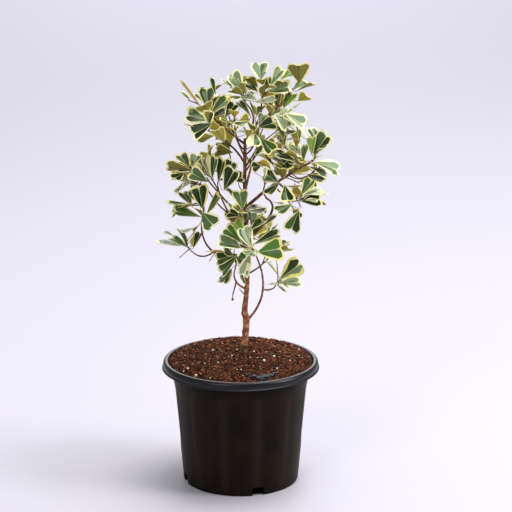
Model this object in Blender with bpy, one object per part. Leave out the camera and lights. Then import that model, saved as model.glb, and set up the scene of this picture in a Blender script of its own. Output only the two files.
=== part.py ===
# Potted variegated triangle fig: a small tree with a slim trunk in a black nursery pot.
# X runs to the right, Y away from the front and Z up. Places and sizes are in millimetres
# until the mm factor turns them into metres. The origin is the middle of the pot's underside.

import math
import random

import bmesh
import bpy
from mathutils import Matrix, Vector
from mathutils.bvhtree import BVHTree

mm = 0.001

# Pot
pot_rim_radius = 80.0
pot_rim_edge_height = 118.0
pot_lip_radius = 78.6
pot_height = 126.2
pot_mouth_radius = 73.0
pot_wall_top_radius = 68.0
pot_wall_top_height = 107.0
pot_foot_radius = 58.4
pot_thickness = 1.2
pot_floor_thickness = 1.8
pot_segments = 40
notch_count = 4
notch_turn = -72.5
notch_width = 12.0
notch_height = 8.8
notch_depth = 9.0

# Soil
soil_edge_height = 124.6
soil_mound = 6.8
soil_mound_exponent = 5
soil_back_rise = 0.025
soil_rings = (0.0, 14.0, 40.0, 55.0, 65.0)
soil_segments = 30

# Touching pieces keep this gap
gap = 0.3

# Trunk: height, place across, place in depth and radius at each station
trunk_stations = (
    (131.8, 3.0, 5.0, 4.3),
    (135.5, 3.3, 5.0, 3.75),
    (144.0, 4.1, 5.0, 3.4),
    (154.0, 5.1, 5.0, 3.2),
    (166.0, 5.5, 5.0, 3.35),
    (177.0, 4.1, 4.8, 3.0),
    (192.0, 5.6, 4.4, 2.45),
    (208.0, 6.5, 4.0, 2.45),
    (250.0, 5.6, 3.0, 2.3),
    (302.0, 4.4, 1.0, 1.9),
    (355.0, 4.7, 0.0, 1.45),
)
trunk_sides = 8
trunk_steps = 3

# Boughs: parent limb, share of the way along it, a point passed half way, tip, root radius
boughs = {
    "bough_lower_right": ("trunk", 0.148, (22, -4, 198), (16, -22, 240), 1.4),
    "bough_lower_right_side": ("bough_lower_right", 0.50, (31, -8, 202), (36, -14, 210), 1.0),
    "bough_lower_left": ("trunk", 0.30, (-5, -7, 211), (-5, -14, 226), 1.2),
    "bough_stub": ("bough_lower_left", 0.50, (-7, -9, 200), (-8, -9, 192), 0.9),
    "bough_left": ("trunk", 0.43, (-9, -4, 236), (-27, -8, 241), 1.4),
    "bough_left_rising": ("bough_left", 1.0, (-38, -10, 260), (-36, -12, 286), 1.1),
    "bough_left_low": ("bough_left", 1.0, (-39, -10, 237), (-51, -14, 246), 0.9),
    "bough_mid_left": ("trunk", 0.63, (-14, -4, 292), (-31, -10, 314), 1.2),
    "bough_mid_left_twig": ("bough_mid_left", 0.68, (-22, -12, 309), (-22, -16, 315), 0.8),
    "bough_mid_left_back": ("trunk", 0.595, (-16, 10, 279), (-32, 18, 297), 1.1),
    "bough_upper_left_low": ("trunk", 0.885, (-9, -8, 349), (-27, -16, 363), 1.2),
    "bough_upper_left": ("trunk", 0.975, (-15, 5, 364), (-31, 10, 378), 1.3),
    "bough_top_left": ("trunk", 0.985, (13, 4, 372), (6, 8, 388), 1.2),
    "bough_top_middle": ("trunk", 0.97, (17, -3, 372), (21, -4, 391), 1.3),
    "bough_top_right": ("bough_top_middle", 0.55, (31, -6, 383), (40, -10, 392), 1.0),
    "bough_inner_right": ("trunk", 0.865, (17, -11, 347), (29, -22, 362), 1.0),
    "bough_right": ("trunk", 0.68, (36, -3, 311), (70, -8, 333), 1.8),
    "bough_right_up": ("bough_right", 0.74, (57, 0, 328), (56, 2, 332), 0.8),
    "bough_right_out": ("bough_right", 0.68, (57, -9, 316), (65, -16, 320), 0.8),
    "bough_right_down": ("bough_right", 0.52, (47, 3, 300), (57, 8, 292), 0.9),
    "bough_right_hanging": ("bough_right", 0.44, (38, -12, 305), (44, -18, 300), 0.9),
    "bough_middle_right": ("trunk", 0.53, (30, -8, 280), (26, -12, 297), 1.5),
    "bough_back_left": ("trunk", 0.50, (-10, 26, 268), (-22, 42, 290), 1.3),
    "bough_back_right": ("trunk", 0.75, (10, 24, 318), (19, 40, 347), 1.3),
    "bough_right_back": ("bough_right", 0.36, (36, 20, 305), (42, 38, 304), 1.0),
}
bough_sides = 5
bough_steps = 5
bough_tip_share = 0.62

# Leaf masses: limb they grow from, share along it, middle of the mass, its reach, leaves
# that fill it, leaf length, lean of those leaves (up is positive) and seed
masses = {
    "leaves_rosette": ("bough_lower_right", 1.0, (13, -31, 250), 38, 3, 29, -0.10, 20),
    "leaves_lower_right": ("bough_lower_right_side", 1.0, (39, -18, 214), 28, 2, 28, 0.10, 4),
    "leaves_low_stub": ("trunk", 0.37, (38, 8, 241), 24, 3, 24, 0.10, 87),
    "leaves_lower_left": ("bough_lower_left", 1.0, (-5, -18, 239), 30, 3, 28, -0.20, 32),
    "leaves_left_rising": ("bough_left_rising", 1.0, (-43, -13, 292), 33, 3, 27, 0.00, 32),
    "leaves_left_low": ("bough_left_low", 1.0, (-53, -15, 254), 30, 2, 25, 0.10, 98),
    "leaves_mid_left": ("bough_mid_left", 1.0, (-43, -10, 325), 34, 2, 25, 0.10, 59),
    "leaves_mid_left_inner": ("bough_mid_left_twig", 1.0, (-18, -18, 318), 26, 2, 27, 0.20, 89),
    "leaves_mid_left_back": ("bough_mid_left_back", 1.0, (-44, 26, 304), 32, 7, 25, 0.05, 2),
    "leaves_vee": ("trunk", 0.79, (-11, 8, 342), 24, 2, 22, 0.10, 53),
    "leaves_upper_left_low": ("bough_upper_left_low", 1.0, (-31, -17, 370), 28, 3, 26, 0.00, 47),
    "leaves_upper_left": ("bough_upper_left", 1.0, (-35, 9, 389), 33, 3, 25, 0.20, 8),
    "leaves_upper_inner": ("trunk", 0.945, (-6, -15, 380), 26, 3, 25, 0.15, 32),
    "leaves_top_left": ("bough_top_left", 1.0, (4, 9, 403), 30, 3, 24, 0.20, 33),
    "leaves_top_middle": ("bough_top_middle", 1.0, (25, -5, 408), 30, 4, 24, 0.20, 22),
    "leaves_top_right": ("bough_top_right", 1.0, (50, -13, 406), 33, 1, 25, 0.20, 44),
    "leaves_upper_middle": ("trunk", 0.925, (18, -15, 368), 26, 2, 25, 0.10, 32),
    "leaves_inner_right": ("bough_inner_right", 1.0, (44, -24, 374), 30, 2, 25, 0.05, 69),
    "leaves_right": ("bough_right", 1.0, (74, -9, 345), 31, 3, 25, 0.20, 5),
    "leaves_right_up": ("bough_right_up", 1.0, (56, 0, 343), 28, 3, 24, 0.10, 74),
    "leaves_right_out": ("bough_right_out", 1.0, (76, -18, 328), 28, 3, 25, 0.00, 40),
    "leaves_right_down": ("bough_right_down", 1.0, (66, 9, 295), 29, 4, 25, -0.10, 60),
    "leaves_right_hanging": ("bough_right_hanging", 1.0, (51, -20, 291), 30, 2, 27, -0.60, 10),
    "leaves_middle_right": ("bough_middle_right", 1.0, (31, -14, 322), 27, 2, 24, 0.20, 89),
    "leaves_behind": ("trunk", 0.845, (20, 32, 338), 30, 6, 25, 0.10, 57),
    "leaves_middle_front": ("trunk", 0.66, (-1, -19, 288), 27, 3, 26, 0.10, 52),
    "leaves_middle_low": ("trunk", 0.56, (13, -21, 276), 25, 2, 25, 0.00, 10),
    "leaves_low_back": ("trunk", 0.45, (7, 40, 262), 33, 8, 26, 0.10, 31),
    "leaves_back_left": ("bough_back_left", 1.0, (-36, 54, 311), 34, 8, 26, 0.10, 71),
    "leaves_back_right": ("bough_back_right", 1.0, (34, 54, 374), 36, 8, 26, 0.15, 94),
    "leaves_right_back": ("bough_right_back", 1.0, (52, 50, 308), 30, 7, 26, 0.00, 48),
    "leaves_back_top": ("trunk", 0.915, (-14, 44, 376), 34, 8, 25, 0.15, 2),
}

# The leaves that show from the front: foot of the blade and its end, across and up as seen from
# the eye on the plane through the pot's axis, then depth, drawn width and tint. An olive leaf
# shows its underside.
eye = Vector((15.5, -2217.4, 845.4))
front_leaves = {
    "leaves_rosette": (
        (11, 243, 2, 263, -36, 15, "pale"),
        (14, 247, 40, 259, -28, 11, "green"),
        (17, 238, 43, 243, -38, 23, "middle"),
        (10, 237, 3, 215, -40, 13, "cream"),
        (1, 248, -15, 265, -28, 12, "middle"),
        (1, 243, -23, 250, -32, 14, "mist"),
        (3, 257, -6, 270, -24, 16, "spring"),
    ),
    "leaves_lower_right": (
        (40, 211, 61, 227, -20, 20, "wide"),
        (39, 206, 61, 207, -22, 11, "pale"),
        (38, 214, 26, 229, -16, 3, "pale"),
        (37, 204, 27, 206, -14, 3, "cream"),
        (38, 204, 43, 199, -24, 3, "cream"),
    ),
    "leaves_low_stub": (
        (41, 245, 47, 250, 6, 8, "dark"),
        (43, 239, 54, 241, 6, 3, "pale"),
        (27, 259, 27, 266, 4, 5, "pale"),
        (32, 260, 35, 266, 4, 4, "dark"),
    ),
    "leaves_lower_left": (
        (-3, 236, -26, 231, -18, 13, "green"),
        (-3, 234, -21, 216, -26, 12, "middle"),
        (-9, 221, -17, 208, -18, 11, "wide"),
        (0, 222, 2, 209, -16, 4, "dark"),
    ),
    "leaves_left_rising": (
        (-38, 284, -42, 308, -18, 18, "dark"),
        (-49, 287, -57, 300, -8, 11, "grey"),
        (-54, 289, -70, 289, -12, 4, "green"),
        (-40, 275, -68, 282, -16, 11, "middle"),
        (-39, 277, -46, 286, -10, 5, "olive"),
        (-33, 279, -20, 298, -20, 8, "middle"),
        (-38, 279, -27, 266, -22, 20, "middle"),
    ),
    "leaves_left_low": (
        (-57, 245, -84, 249, -18, 5, "grey"),
        (-54, 244, -69, 254, -20, 8, "middle"),
        (-54, 246, -60, 261, -14, 6, "green"),
        (-46, 264, -57, 259, -8, 4, "grey"),
        (-46, 260, -42, 268, -10, 4, "olive"),
        (-48, 245, -48, 258, -18, 5, "olive"),
        (-47, 243, -40, 258, -20, 8, "dark"),
    ),
    "leaves_mid_left": (
        (-33, 311, -50, 321, -18, 15, "grey"),
        (-50, 309, -58, 316, -8, 4, "dark"),
        (-56, 320, -66, 314, -8, 10, "dark"),
        (-51, 324, -74, 326, -12, 10, "olive"),
        (-51, 326, -60, 338, -14, 12, "green"),
        (-48, 327, -43, 338, -6, 12, "grey"),
        (-30, 317, -36, 336, -10, 10, "cream"),
        (-28, 314, -25, 338, -14, 8, "green"),
        (-58, 309, -63, 302, -4, 3, "olive"),
    ),
    "leaves_mid_left_inner": (
        (-22, 311, -16, 335, -20, 9, "dark"),
        (-16, 303, -5, 325, -26, 17, "dark"),
    ),
    "leaves_vee": (
        (-8, 341, -25, 343, 0, 12, "olive"),
    ),
    "leaves_upper_left_low": (
        (-28, 370, -48, 358, -20, 16, "dark"),
        (-26, 358, -45, 354, -16, 10, "olive"),
        (-16, 352, -25, 366, -14, 14, "olive"),
    ),
    "leaves_upper_left": (
        (-31, 373, -54, 379, 0, 16, "deepGrey"),
        (-38, 385, -60, 414, 6, 3, "olive"),
        (-32, 380, -37, 391, 0, 19, "olive"),
        (-32, 387, -33, 406, 12, 18, "mistDark"),
        (-24, 404, -17, 410, 16, 3, "olive"),
        (-28, 381, -12, 396, 6, 11, "grey"),
        (-27, 383, -22, 397, 10, 5, "dark"),
        (-28, 376, -13, 384, 2, 8, "dark"),
    ),
    "leaves_upper_inner": (
        (10, 378, -2, 392, -10, 7, "dark"),
        (-15, 376, -5, 390, -14, 12, "dark"),
        (1, 397, -9, 396, -6, 4, "dark"),
        (-13, 365, -7, 374, -14, 6, "green"),
        (9, 373, -3, 367, -16, 7, "green"),
        (6, 360, -3, 363, -14, 5, "pale"),
    ),
    "leaves_top_left": (
        (2, 402, -9, 421, 8, 15, "mist"),
        (3, 399, -10, 404, 4, 8, "olive"),
        (5, 400, -1, 414, 4, 5, "olive"),
        (17, 407, 6, 417, 8, 9, "olive"),
        (17, 402, 4, 412, 2, 11, "dark"),
        (17, 393, 4, 398, -2, 8, "pale"),
        (12, 396, 10, 404, 0, 4, "dark"),
    ),
    "leaves_top_middle": (
        (20, 414, 19, 430, -2, 18, "mist"),
        (24, 408, 22, 416, -4, 13, "olive"),
        (22, 398, 23, 411, -8, 7, "olive"),
        (30, 408, 41, 426, -4, 10, "pale"),
        (16, 391, 35, 395, -10, 7, "pale"),
    ),
    "leaves_top_right": (
        (27, 402, 50, 407, -14, 13, "grey"),
        (33, 408, 43, 412, -8, 4, "olive"),
        (40, 414, 53, 423, -12, 9, "middle"),
        (58, 411, 57, 431, -14, 22, "olive"),
        (56, 403, 73, 411, -12, 4, "olive"),
        (57, 393, 67, 399, -16, 12, "olive"),
        (43, 386, 52, 400, -16, 12, "fresh"),
        (37, 384, 38, 400, -6, 8, "green"),
        (39, 383, 49, 386, -18, 5, "pale"),
    ),
    "leaves_upper_middle": (
        (18, 366, 34, 371, -18, 14, "dark"),
        (20, 355, 32, 342, -20, 14, "green"),
        (14, 360, 13, 348, -22, 15, "halfCream"),
        (21, 350, 19, 340, -16, 7, "green"),
        (12, 361, 11, 371, -14, 9, "olive"),
        (14, 379, 12, 391, -8, 6, "olive"),
        (16, 378, 22, 388, -8, 8, "dark"),
        (31, 381, 28, 391, -12, 7, "olive"),
    ),
    "leaves_inner_right": (
        (44, 380, 64, 368, -28, 13, "pale"),
        (34, 380, 47, 365, -26, 12, "pale"),
        (44, 362, 51, 360, -20, 6, "dark"),
        (42, 354, 39, 366, -22, 7, "green"),
        (45, 352, 55, 356, -24, 5, "pale"),
        (58, 353, 57, 365, -20, 5, "green"),
        (66, 355, 59, 365, -16, 3, "cream"),
    ),
    "leaves_right": (
        (73, 338, 87, 360, -14, 16, "greyDark"),
        (76, 350, 70, 365, -4, 10, "grey"),
        (71, 338, 71, 357, -18, 9, "spring"),
        (72, 333, 79, 338, -12, 4, "grey"),
        (63, 333, 65, 348, -14, 8, "grey"),
    ),
    "leaves_right_up": (
        (55, 332, 34, 341, -14, 9, "dark"),
        (57, 336, 43, 341, -8, 6, "olive"),
        (53, 335, 47, 350, -2, 10, "cream"),
        (61, 337, 53, 349, -6, 8, "pale"),
    ),
    "leaves_right_out": (
        (74, 331, 99, 323, -20, 14, "mist"),
        (66, 327, 87, 318, -22, 6, "green"),
        (66, 318, 83, 312, -18, 8, "dark"),
    ),
    "leaves_right_down": (
        (61, 298, 71, 314, 8, 12, "greenMist"),
        (62, 297, 81, 303, 4, 8, "pale"),
        (61, 291, 81, 293, 2, 15, "dark"),
        (60, 297, 54, 296, 4, 4, "olive"),
    ),
    "leaves_right_hanging": (
        (44, 307, 47, 292, -24, 15, "darkGrey"),
        (38, 309, 27, 299, -16, 9, "green"),
        (51, 288, 37, 280, -22, 11, "grey"),
        (58, 281, 50, 260, -24, 18, "green"),
        (57, 281, 51, 283, -16, 4, "olive"),
        (43, 287, 36, 290, -14, 4, "dark"),
        (47, 307, 58, 306, -12, 3, "olive"),
    ),
    "leaves_middle_right": (
        (38, 310, 25, 319, -20, 15, "mistDark"),
        (20, 327, 11, 326, -14, 12, "dark"),
        (30, 325, 17, 333, -16, 8, "olive"),
        (11, 325, 8, 335, -8, 5, "dark"),
        (33, 327, 23, 339, -18, 4, "dark"),
        (44, 329, 29, 336, -16, 4, "grey"),
        (38, 325, 34, 331, -12, 6, "olive"),
        (42, 314, 39, 327, -14, 11, "olive"),
        (57, 325, 51, 329, -14, 4, "olive"),
        (36, 346, 37, 353, -12, 6, "olive"),
    ),
    "leaves_middle_front": (
        (2, 283, -1, 301, -22, 16, "middle"),
        (-1, 276, -12, 280, -20, 13, "dark"),
        (4, 270, 3, 281, -26, 6, "green"),
    ),
    "leaves_middle_low": (
        (5, 282, 19, 287, -14, 6, "shade"),
        (7, 281, 25, 281, -18, 6, "shade"),
        (11, 264, 11, 280, -26, 10, "mist"),
        (10, 262, 23, 271, -30, 8, "green"),
    ),
}

# Places on the same plane that no filling leaf covers from the front: sky between the sprays
# at any depth, and limbs that show.
open_places = {
    "sky": (
        (-30, 252), (-25, 258), (-22, 284), (-6, 302), (-10, 299), (-4, 336), (9, 341), (9, 350), (-6, 350),
        (12, 232), (10, 226), (35, 226), (38, 229), (30, 222), (38, 272), (40, 263), (23, 287), (66, 281),
        (72, 275), (55, 312), (60, 310), (50, 311), (51, 413), (-17, 403), (-14, 408), (40, 377), (27, 360),
        (24, 358), (56, 386), (62, 384), (30, 419), (2, 424), (74, 372), (63, 352), (-70, 270), (-62, 268),
        (-14, 257), (-60, 348), (-48, 348), (-36, 346), (-57, 394), (-61, 395), (-65, 395), (-67, 262),
        (-68, 266), (-69, 274), (78, 295), (82, 297), (86, 298), (-58, 406), (90, 300), (-68, 281),
    ),
    "limbs": (
        (4, 305), (4, 312), (4, 319), (4, 326), (4, 334), (4, 342), (6, 200), (6, 215), (5, 226), (12, 291),
        (17, 297), (21, 301), (27, 304), (33, 308), (45, 315), (50, 318), (55, 322), (60, 326), (68, 331),
        (-21, 288), (-26, 296), (-16, 292), (-22, 356), (-15, 351), (-8, 347), (-2, 342), (-12, 362), (-5, 357),
        (26, 290), (30, 283), (29, 276), (25, 270), (18, 258), (13, 252), (17, 252), (2, 241), (6, 244), (-4, 241),
    ),
}
stem_sides = 4
stem_steps = 3
stem_root_radius = 0.9
stem_tip_radius = 0.55
twig_sides = 3
twig_steps = 2
twig_root_radius = 0.6
twig_tip_radius = 0.45
twig_length_share = 0.55
twig_tries = 8
leaves_per_twig = 4
leaf_tries = 14
leaf_turn = math.radians(137.5)
leaf_top_share = 0.96
leaf_share_step = 0.13
leaf_size_spread = 0.16
leaf_margin = 0.45

# Blade: share of its length, share of its half width, half thickness at the rib
leaf_stations = (
    (0.00, 0.05, 0.45),
    (0.76, 1.00, 0.38),
    (1.00, 0.58, 0.26),
)
leaf_notch = 0.09
leaf_width_share = 0.82
leaf_root_size = 0.22
leaf_stalk_share = 0.18
leaf_bend_limit = 0.3
leaf_knee = 2.0
leaf_shifts = (0, 2, -2, 4, -4, 6, -6, 9, -9, 12, -12)


def clear_scene():
    for item in list(bpy.data.objects):
        bpy.data.objects.remove(item, do_unlink=True)


def make_material(name, colour, roughness):
    material = bpy.data.materials.new(name)
    material.use_nodes = True
    shader = material.node_tree.nodes["Principled BSDF"]
    shader.inputs["Base Color"].default_value = (*colour, 1.0)
    shader.inputs["Roughness"].default_value = roughness
    shader.inputs["Metallic"].default_value = 0.0
    return material


def add_object(name, bm, material, smooth_angle=None):
    bmesh.ops.recalc_face_normals(bm, faces=bm.faces)
    mesh = bpy.data.meshes.new(name)
    bm.to_mesh(mesh)
    bm.free()
    if smooth_angle is not None:
        mesh.shade_smooth()
        mesh.set_sharp_from_angle(angle=smooth_angle)
    mesh.materials.append(material)
    item = bpy.data.objects.new(name, mesh)
    bpy.context.scene.collection.objects.link(item)
    return item


# Turned shapes

def turn_profile(profile, segments):
    # The profile runs from the axis round the section and back to the axis.
    bm = bmesh.new()
    points = [bm.verts.new((radius * mm, 0.0, height * mm)) for radius, height in profile]
    edges = [bm.edges.new(pair) for pair in zip(points, points[1:])]
    bmesh.ops.spin(
        bm, geom=points + edges, cent=(0, 0, 0), axis=(0, 0, 1),
        angle=math.tau, steps=segments, use_merge=True,
    )
    bmesh.ops.remove_doubles(bm, verts=bm.verts, dist=0.01 * mm)
    return bm


def pot_profile():
    floor_radius = pot_foot_radius - pot_thickness
    inner_top = pot_wall_top_radius - pot_thickness
    collar_height = pot_rim_edge_height - 1.5
    return (
        (0.0, 0.0),
        (pot_foot_radius - 0.7, 0.0),
        (pot_foot_radius, 0.8),
        (pot_wall_top_radius, pot_wall_top_height),
        (pot_wall_top_radius + 0.8, collar_height),
        (pot_lip_radius - 2.4, pot_height - 3.8),
        (pot_rim_radius - 1.5, pot_rim_edge_height),
        (pot_rim_radius, pot_rim_edge_height),
        (pot_lip_radius, pot_height - 2.6),
        (pot_lip_radius - 1.2, pot_height - 0.9),
        (pot_lip_radius - 3.0, pot_height),
        (pot_mouth_radius + 1.2, pot_height - 0.1),
        (pot_mouth_radius - 0.3, pot_height - 3.2),
        (inner_top + 0.8, collar_height + 1.5),
        (inner_top, pot_wall_top_height),
        (floor_radius, pot_floor_thickness),
        (0.0, pot_floor_thickness),
    )


def make_pot():
    pot = add_object(
        "pot", turn_profile(pot_profile(), pot_segments),
        make_material("black_plastic", (0.012, 0.011, 0.010), 0.42), math.radians(35),
    )
    for index in range(notch_count):
        angle = math.radians(notch_turn + index * 360 / notch_count)
        bm = bmesh.new()
        bmesh.ops.create_cube(bm, size=1.0)
        size = Matrix.Diagonal((notch_depth * mm, notch_width * mm, 2 * notch_height * mm, 1.0))
        place = Matrix.Rotation(angle, 4, "Z") @ Matrix.Translation((pot_foot_radius * mm, 0, 0))
        bmesh.ops.transform(bm, matrix=place @ size, verts=bm.verts)
        cutter = add_object(f"notch_cutter_{index}", bm, pot.data.materials[0])
        cutter.hide_render = True
        cutter.display_type = "WIRE"
        cut = pot.modifiers.new(f"notch_{index}", "BOOLEAN")
        cut.operation = "DIFFERENCE"
        cut.object = cutter
    return pot


def soil_height(x, y):
    reach = min(1.0, math.hypot(x, y) / pot_mouth_radius)
    return soil_edge_height + soil_mound * (1 - reach ** soil_mound_exponent) + soil_back_rise * y


def make_soil():
    edge_radius = pot_mouth_radius - 0.3 - gap
    inner_top = pot_wall_top_radius - pot_thickness - gap
    floor_radius = pot_foot_radius - pot_thickness - gap
    collar_height = pot_rim_edge_height - 1.5
    profile = [
        (0.0, pot_floor_thickness + gap),
        (floor_radius - 0.2, pot_floor_thickness + gap),
        (inner_top, pot_wall_top_height),
        (inner_top + 0.6, collar_height + 1.5),
        (edge_radius - 0.3, pot_height - 3.2),
    ]
    profile.append((edge_radius, pot_height - 2.6))
    profile += [(radius, 0.0) for radius in reversed(soil_rings)]
    bm = turn_profile(profile, soil_segments)
    for vert in bm.verts:
        if vert.co.z < 0.5 * mm:
            vert.co.z = soil_height(vert.co.x / mm, vert.co.y / mm) * mm
    bmesh.ops.recalc_face_normals(bm, faces=bm.faces)
    return add_object("soil", bm, make_material("coir", (0.09, 0.035, 0.02), 0.95), math.radians(60))


# Limbs

def catmull(points, steps):
    # A smooth curve through the points, with this many steps between neighbours.
    ends = [points[0] * 2 - points[1], *points, points[-1] * 2 - points[-2]]
    curve = []
    for index in range(len(points) - 1):
        a, b, c, d = ends[index:index + 4]
        for step in range(steps):
            t = step / steps
            curve.append(0.5 * (
                2 * b + (c - a) * t + (2 * a - 5 * b + 4 * c - d) * t ** 2
                + (3 * b - a - 3 * c + d) * t ** 3
            ))
    curve.append(points[-1].copy())
    return curve


def bend(foot, middle, tip, steps):
    control = middle * 2 - (foot + tip) / 2
    curve = []
    for step in range(steps + 1):
        t = step / steps
        curve.append(foot * (1 - t) ** 2 + control * (2 * t * (1 - t)) + tip * t ** 2)
    return curve


def point_along(path, share):
    lengths = [(b - a).length for a, b in zip(path, path[1:])]
    left = share * sum(lengths)
    for (a, b), length in zip(zip(path, path[1:]), lengths):
        if left <= length:
            return a.lerp(b, left / length), (b - a).normalized()
        left -= length
    return path[-1].copy(), (path[-1] - path[-2]).normalized()


def ring_frames(path, flat_foot=False):
    # One turned square of axes for each station, carried along without twisting.
    frames = []
    side = None
    for index, point in enumerate(path):
        before = path[max(index - 1, 0)]
        after = path[min(index + 1, len(path) - 1)]
        along = (after - before).normalized()
        if flat_foot and index == 0:
            along = Vector((0, 0, 1))
        if side is None:
            side = along.orthogonal().normalized()
        side = (side - along * side.dot(along)).normalized()
        frames.append((point, side, along.cross(side)))
    return frames


def tube_rings(path, radii, sides, flat_foot=False):
    rings = []
    for (point, side, other), radius in zip(ring_frames(path, flat_foot), radii):
        angles = [math.tau * index / sides for index in range(sides)]
        rings.append([point + (side * math.cos(a) + other * math.sin(a)) * radius for a in angles])
    return rings


def taper(first, last, steps):
    return [first + (last - first) * step / steps for step in range(steps + 1)]


def skin(rings):
    # Points and faces of a closed body through the rings.
    sides = len(rings[0])
    points = [point for ring in rings for point in ring]
    faces = []
    for ring in range(len(rings) - 1):
        for index in range(sides):
            a = ring * sides + index
            b = ring * sides + (index + 1) % sides
            faces.append((a, b, b + sides, a + sides))
    last = (len(rings) - 1) * sides
    faces.append(tuple(reversed(range(sides))))
    faces.append(tuple(range(last, last + sides)))
    return points, faces


def leaf_skin(rings):
    # The same for a leaf, whose end is folded at the rib so that the notch stays open.
    points, faces = skin(rings)
    faces.pop()
    last = len(points) - 4
    faces += [(last, last + 1, last + 3), (last + 1, last + 2, last + 3)]
    return points, faces


def body_to_bmesh(body):
    bm = bmesh.new()
    points, faces = body
    verts = [bm.verts.new(point * mm) for point in points]
    for face in faces:
        bm.faces.new([verts[index] for index in face])
    return bm


def fatten(path, radii, sides, extra, flat_foot=False):
    # The same limb grown by a clearance all round and at both ends.
    wider = [radius + extra / math.cos(math.pi / sides) for radius in radii]
    start = path[0] - (path[1] - path[0]).normalized() * extra
    end = path[-1] + (path[-1] - path[-2]).normalized() * extra
    return skin(tube_rings([start, *path[1:-1], end], wider, sides, flat_foot))


class Limb:
    def __init__(self, name, path, radii, sides, flat_foot=False):
        self.name = name
        self.path = path
        self.radii = radii
        self.sides = sides
        self.body = skin(tube_rings(path, radii, sides, flat_foot))
        self.clearance = fatten(path, radii, sides, gap, flat_foot)
        self.guard = tree_of(fatten(path, radii, sides, leaf_margin, flat_foot))


def cut_away(target, body):
    # Cuts a grown neighbour off the target and keeps the largest piece that is left.
    cutter = add_object("limb_cutter", body_to_bmesh(body), target.data.materials[0])
    cut = target.modifiers.new("cut", "BOOLEAN")
    cut.operation = "DIFFERENCE"
    cut.object = cutter
    apply_modifiers(target)
    bpy.data.objects.remove(cutter, do_unlink=True)
    keep_largest(target)


def apply_modifiers(item):
    depsgraph = bpy.context.evaluated_depsgraph_get()
    mesh = bpy.data.meshes.new_from_object(item.evaluated_get(depsgraph))
    old = item.data
    item.modifiers.clear()
    item.data = mesh
    mesh.name = item.name
    bpy.data.meshes.remove(old)


def keep_largest(item):
    # Drops offcuts and sealed pockets: every group of faces but the largest.
    bm = bmesh.new()
    bm.from_mesh(item.data)
    left = set(bm.faces)
    groups = []
    while left:
        queue = [left.pop()]
        group = []
        while queue:
            face = queue.pop()
            group.append(face)
            for edge in face.edges:
                for other in edge.link_faces:
                    if other in left:
                        left.remove(other)
                        queue.append(other)
        groups.append(group)
    groups.sort(key=len)
    for group in groups[:-1]:
        bmesh.ops.delete(bm, geom=group, context="FACES")
    bm.to_mesh(item.data)
    bm.free()


def make_limbs(bark):
    stations = [Vector((x, y, z)) for z, x, y, _ in trunk_stations]
    path = catmull(stations, trunk_steps)
    radii = []
    for (_, _, _, a), (_, _, _, b) in zip(trunk_stations, trunk_stations[1:]):
        radii += [a + (b - a) * step / trunk_steps for step in range(trunk_steps)]
    radii.append(trunk_stations[-1][3])
    limbs = {"trunk": Limb("trunk", path, radii, trunk_sides, flat_foot=True)}
    add_object("trunk", body_to_bmesh(limbs["trunk"].body), bark, math.radians(60))
    for name, (parent, share, middle, tip, radius) in boughs.items():
        foot, _ = point_along(limbs[parent].path, share)
        path = bend(foot, Vector(middle), Vector(tip), bough_steps)
        radii = taper(radius, radius * bough_tip_share, bough_steps)
        limb = Limb(name, path, radii, bough_sides)
        item = add_object(name, body_to_bmesh(limb.body), bark, math.radians(60))
        near = tree_of(limb.body)
        for other in limbs.values():
            if tree_of(other.clearance).overlap(near):
                cut_away(item, other.clearance)
        limbs[name] = limb
    return limbs


# Leaf masses

class Leaf:
    # A stalk from the root on a shoot to the foot of the blade, and the blade along its rib.
    # face is the way that the upper side looks.
    def __init__(self, root, foot, along, face, length, half_width, fold, curl, tint=None):
        self.root = root
        self.foot = foot
        self.along = along
        self.face = face
        self.length = length
        self.half_width = half_width
        self.fold = fold
        self.curl = curl
        self.tint = tint

    def tip(self):
        return self.foot + self.along * self.length

    def rings(self, margin=0.0):
        # The first ring is the stalk's root. A margin makes the rings of a thicker, wider leaf.
        side = self.along.cross(self.face).normalized()
        path = [self.root, self.foot]
        if (self.foot - self.root).normalized().dot(self.along) < leaf_bend_limit:
            path.insert(1, self.foot - self.along * leaf_knee)
        rings = []
        for index, point in enumerate(path[:-1]):
            heading = (path[index + 1] - point).normalized()
            if index:
                heading = (heading + (point - path[index - 1]).normalized()).normalized()
            else:
                point = point - heading * margin
            across, up = self.frame(side, heading)
            across *= leaf_root_size + margin
            up *= leaf_root_size + margin
            rings.append([point - across, point + up, point + across, point - up])
        length = self.length + margin
        for share, width, thickness in leaf_stations:
            width = width * self.half_width
            notch = leaf_notch if share == 1.0 else 0.0
            drop = self.face * (self.curl * share ** 2 * length)
            rib = self.foot + self.along * ((share - notch) * length) - drop
            edge = self.foot + self.along * (share * length) - drop + self.face * (width * self.fold)
            wide = side * (width + margin)
            thick = self.face * (thickness + margin)
            rings.append([edge - wide, rib + thick, edge + wide, rib - thick])
        return rings

    def frame(self, side, heading):
        # The stalk's axes follow the blade's, whichever of its two is nearer square to the heading.
        flat = side - heading * side.dot(heading)
        tall = self.face - heading * self.face.dot(heading)
        if flat.length > tall.length:
            across = flat.normalized()
            return across, across.cross(heading)
        up = tall.normalized()
        return heading.cross(up), up

    def body(self):
        return leaf_skin(self.rings())

    def blade(self, margin=0.0):
        return tree_of(leaf_skin(self.rings(margin)[-len(leaf_stations):]))

    def guard(self):
        return tree_of(leaf_skin(self.rings(leaf_margin)))

    def spots(self):
        # Places on the blade that the eye should find.
        side = self.along.cross(self.face).normalized() * self.half_width
        places = ((0.3, 0.0), (0.55, 0.3), (0.55, -0.3), (0.8, 0.55), (0.8, -0.55), (0.93, 0.0))
        return [self.foot + self.along * (share * self.length) + side * across for share, across in places]


def sight_to(point):
    # How the eye finds a point: its place on the plane through the axis, the way to it and how far.
    span = point - eye
    seen = eye + span * (-eye.y / span.y)
    return seen.x, seen.z, span.normalized(), span.length


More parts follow.
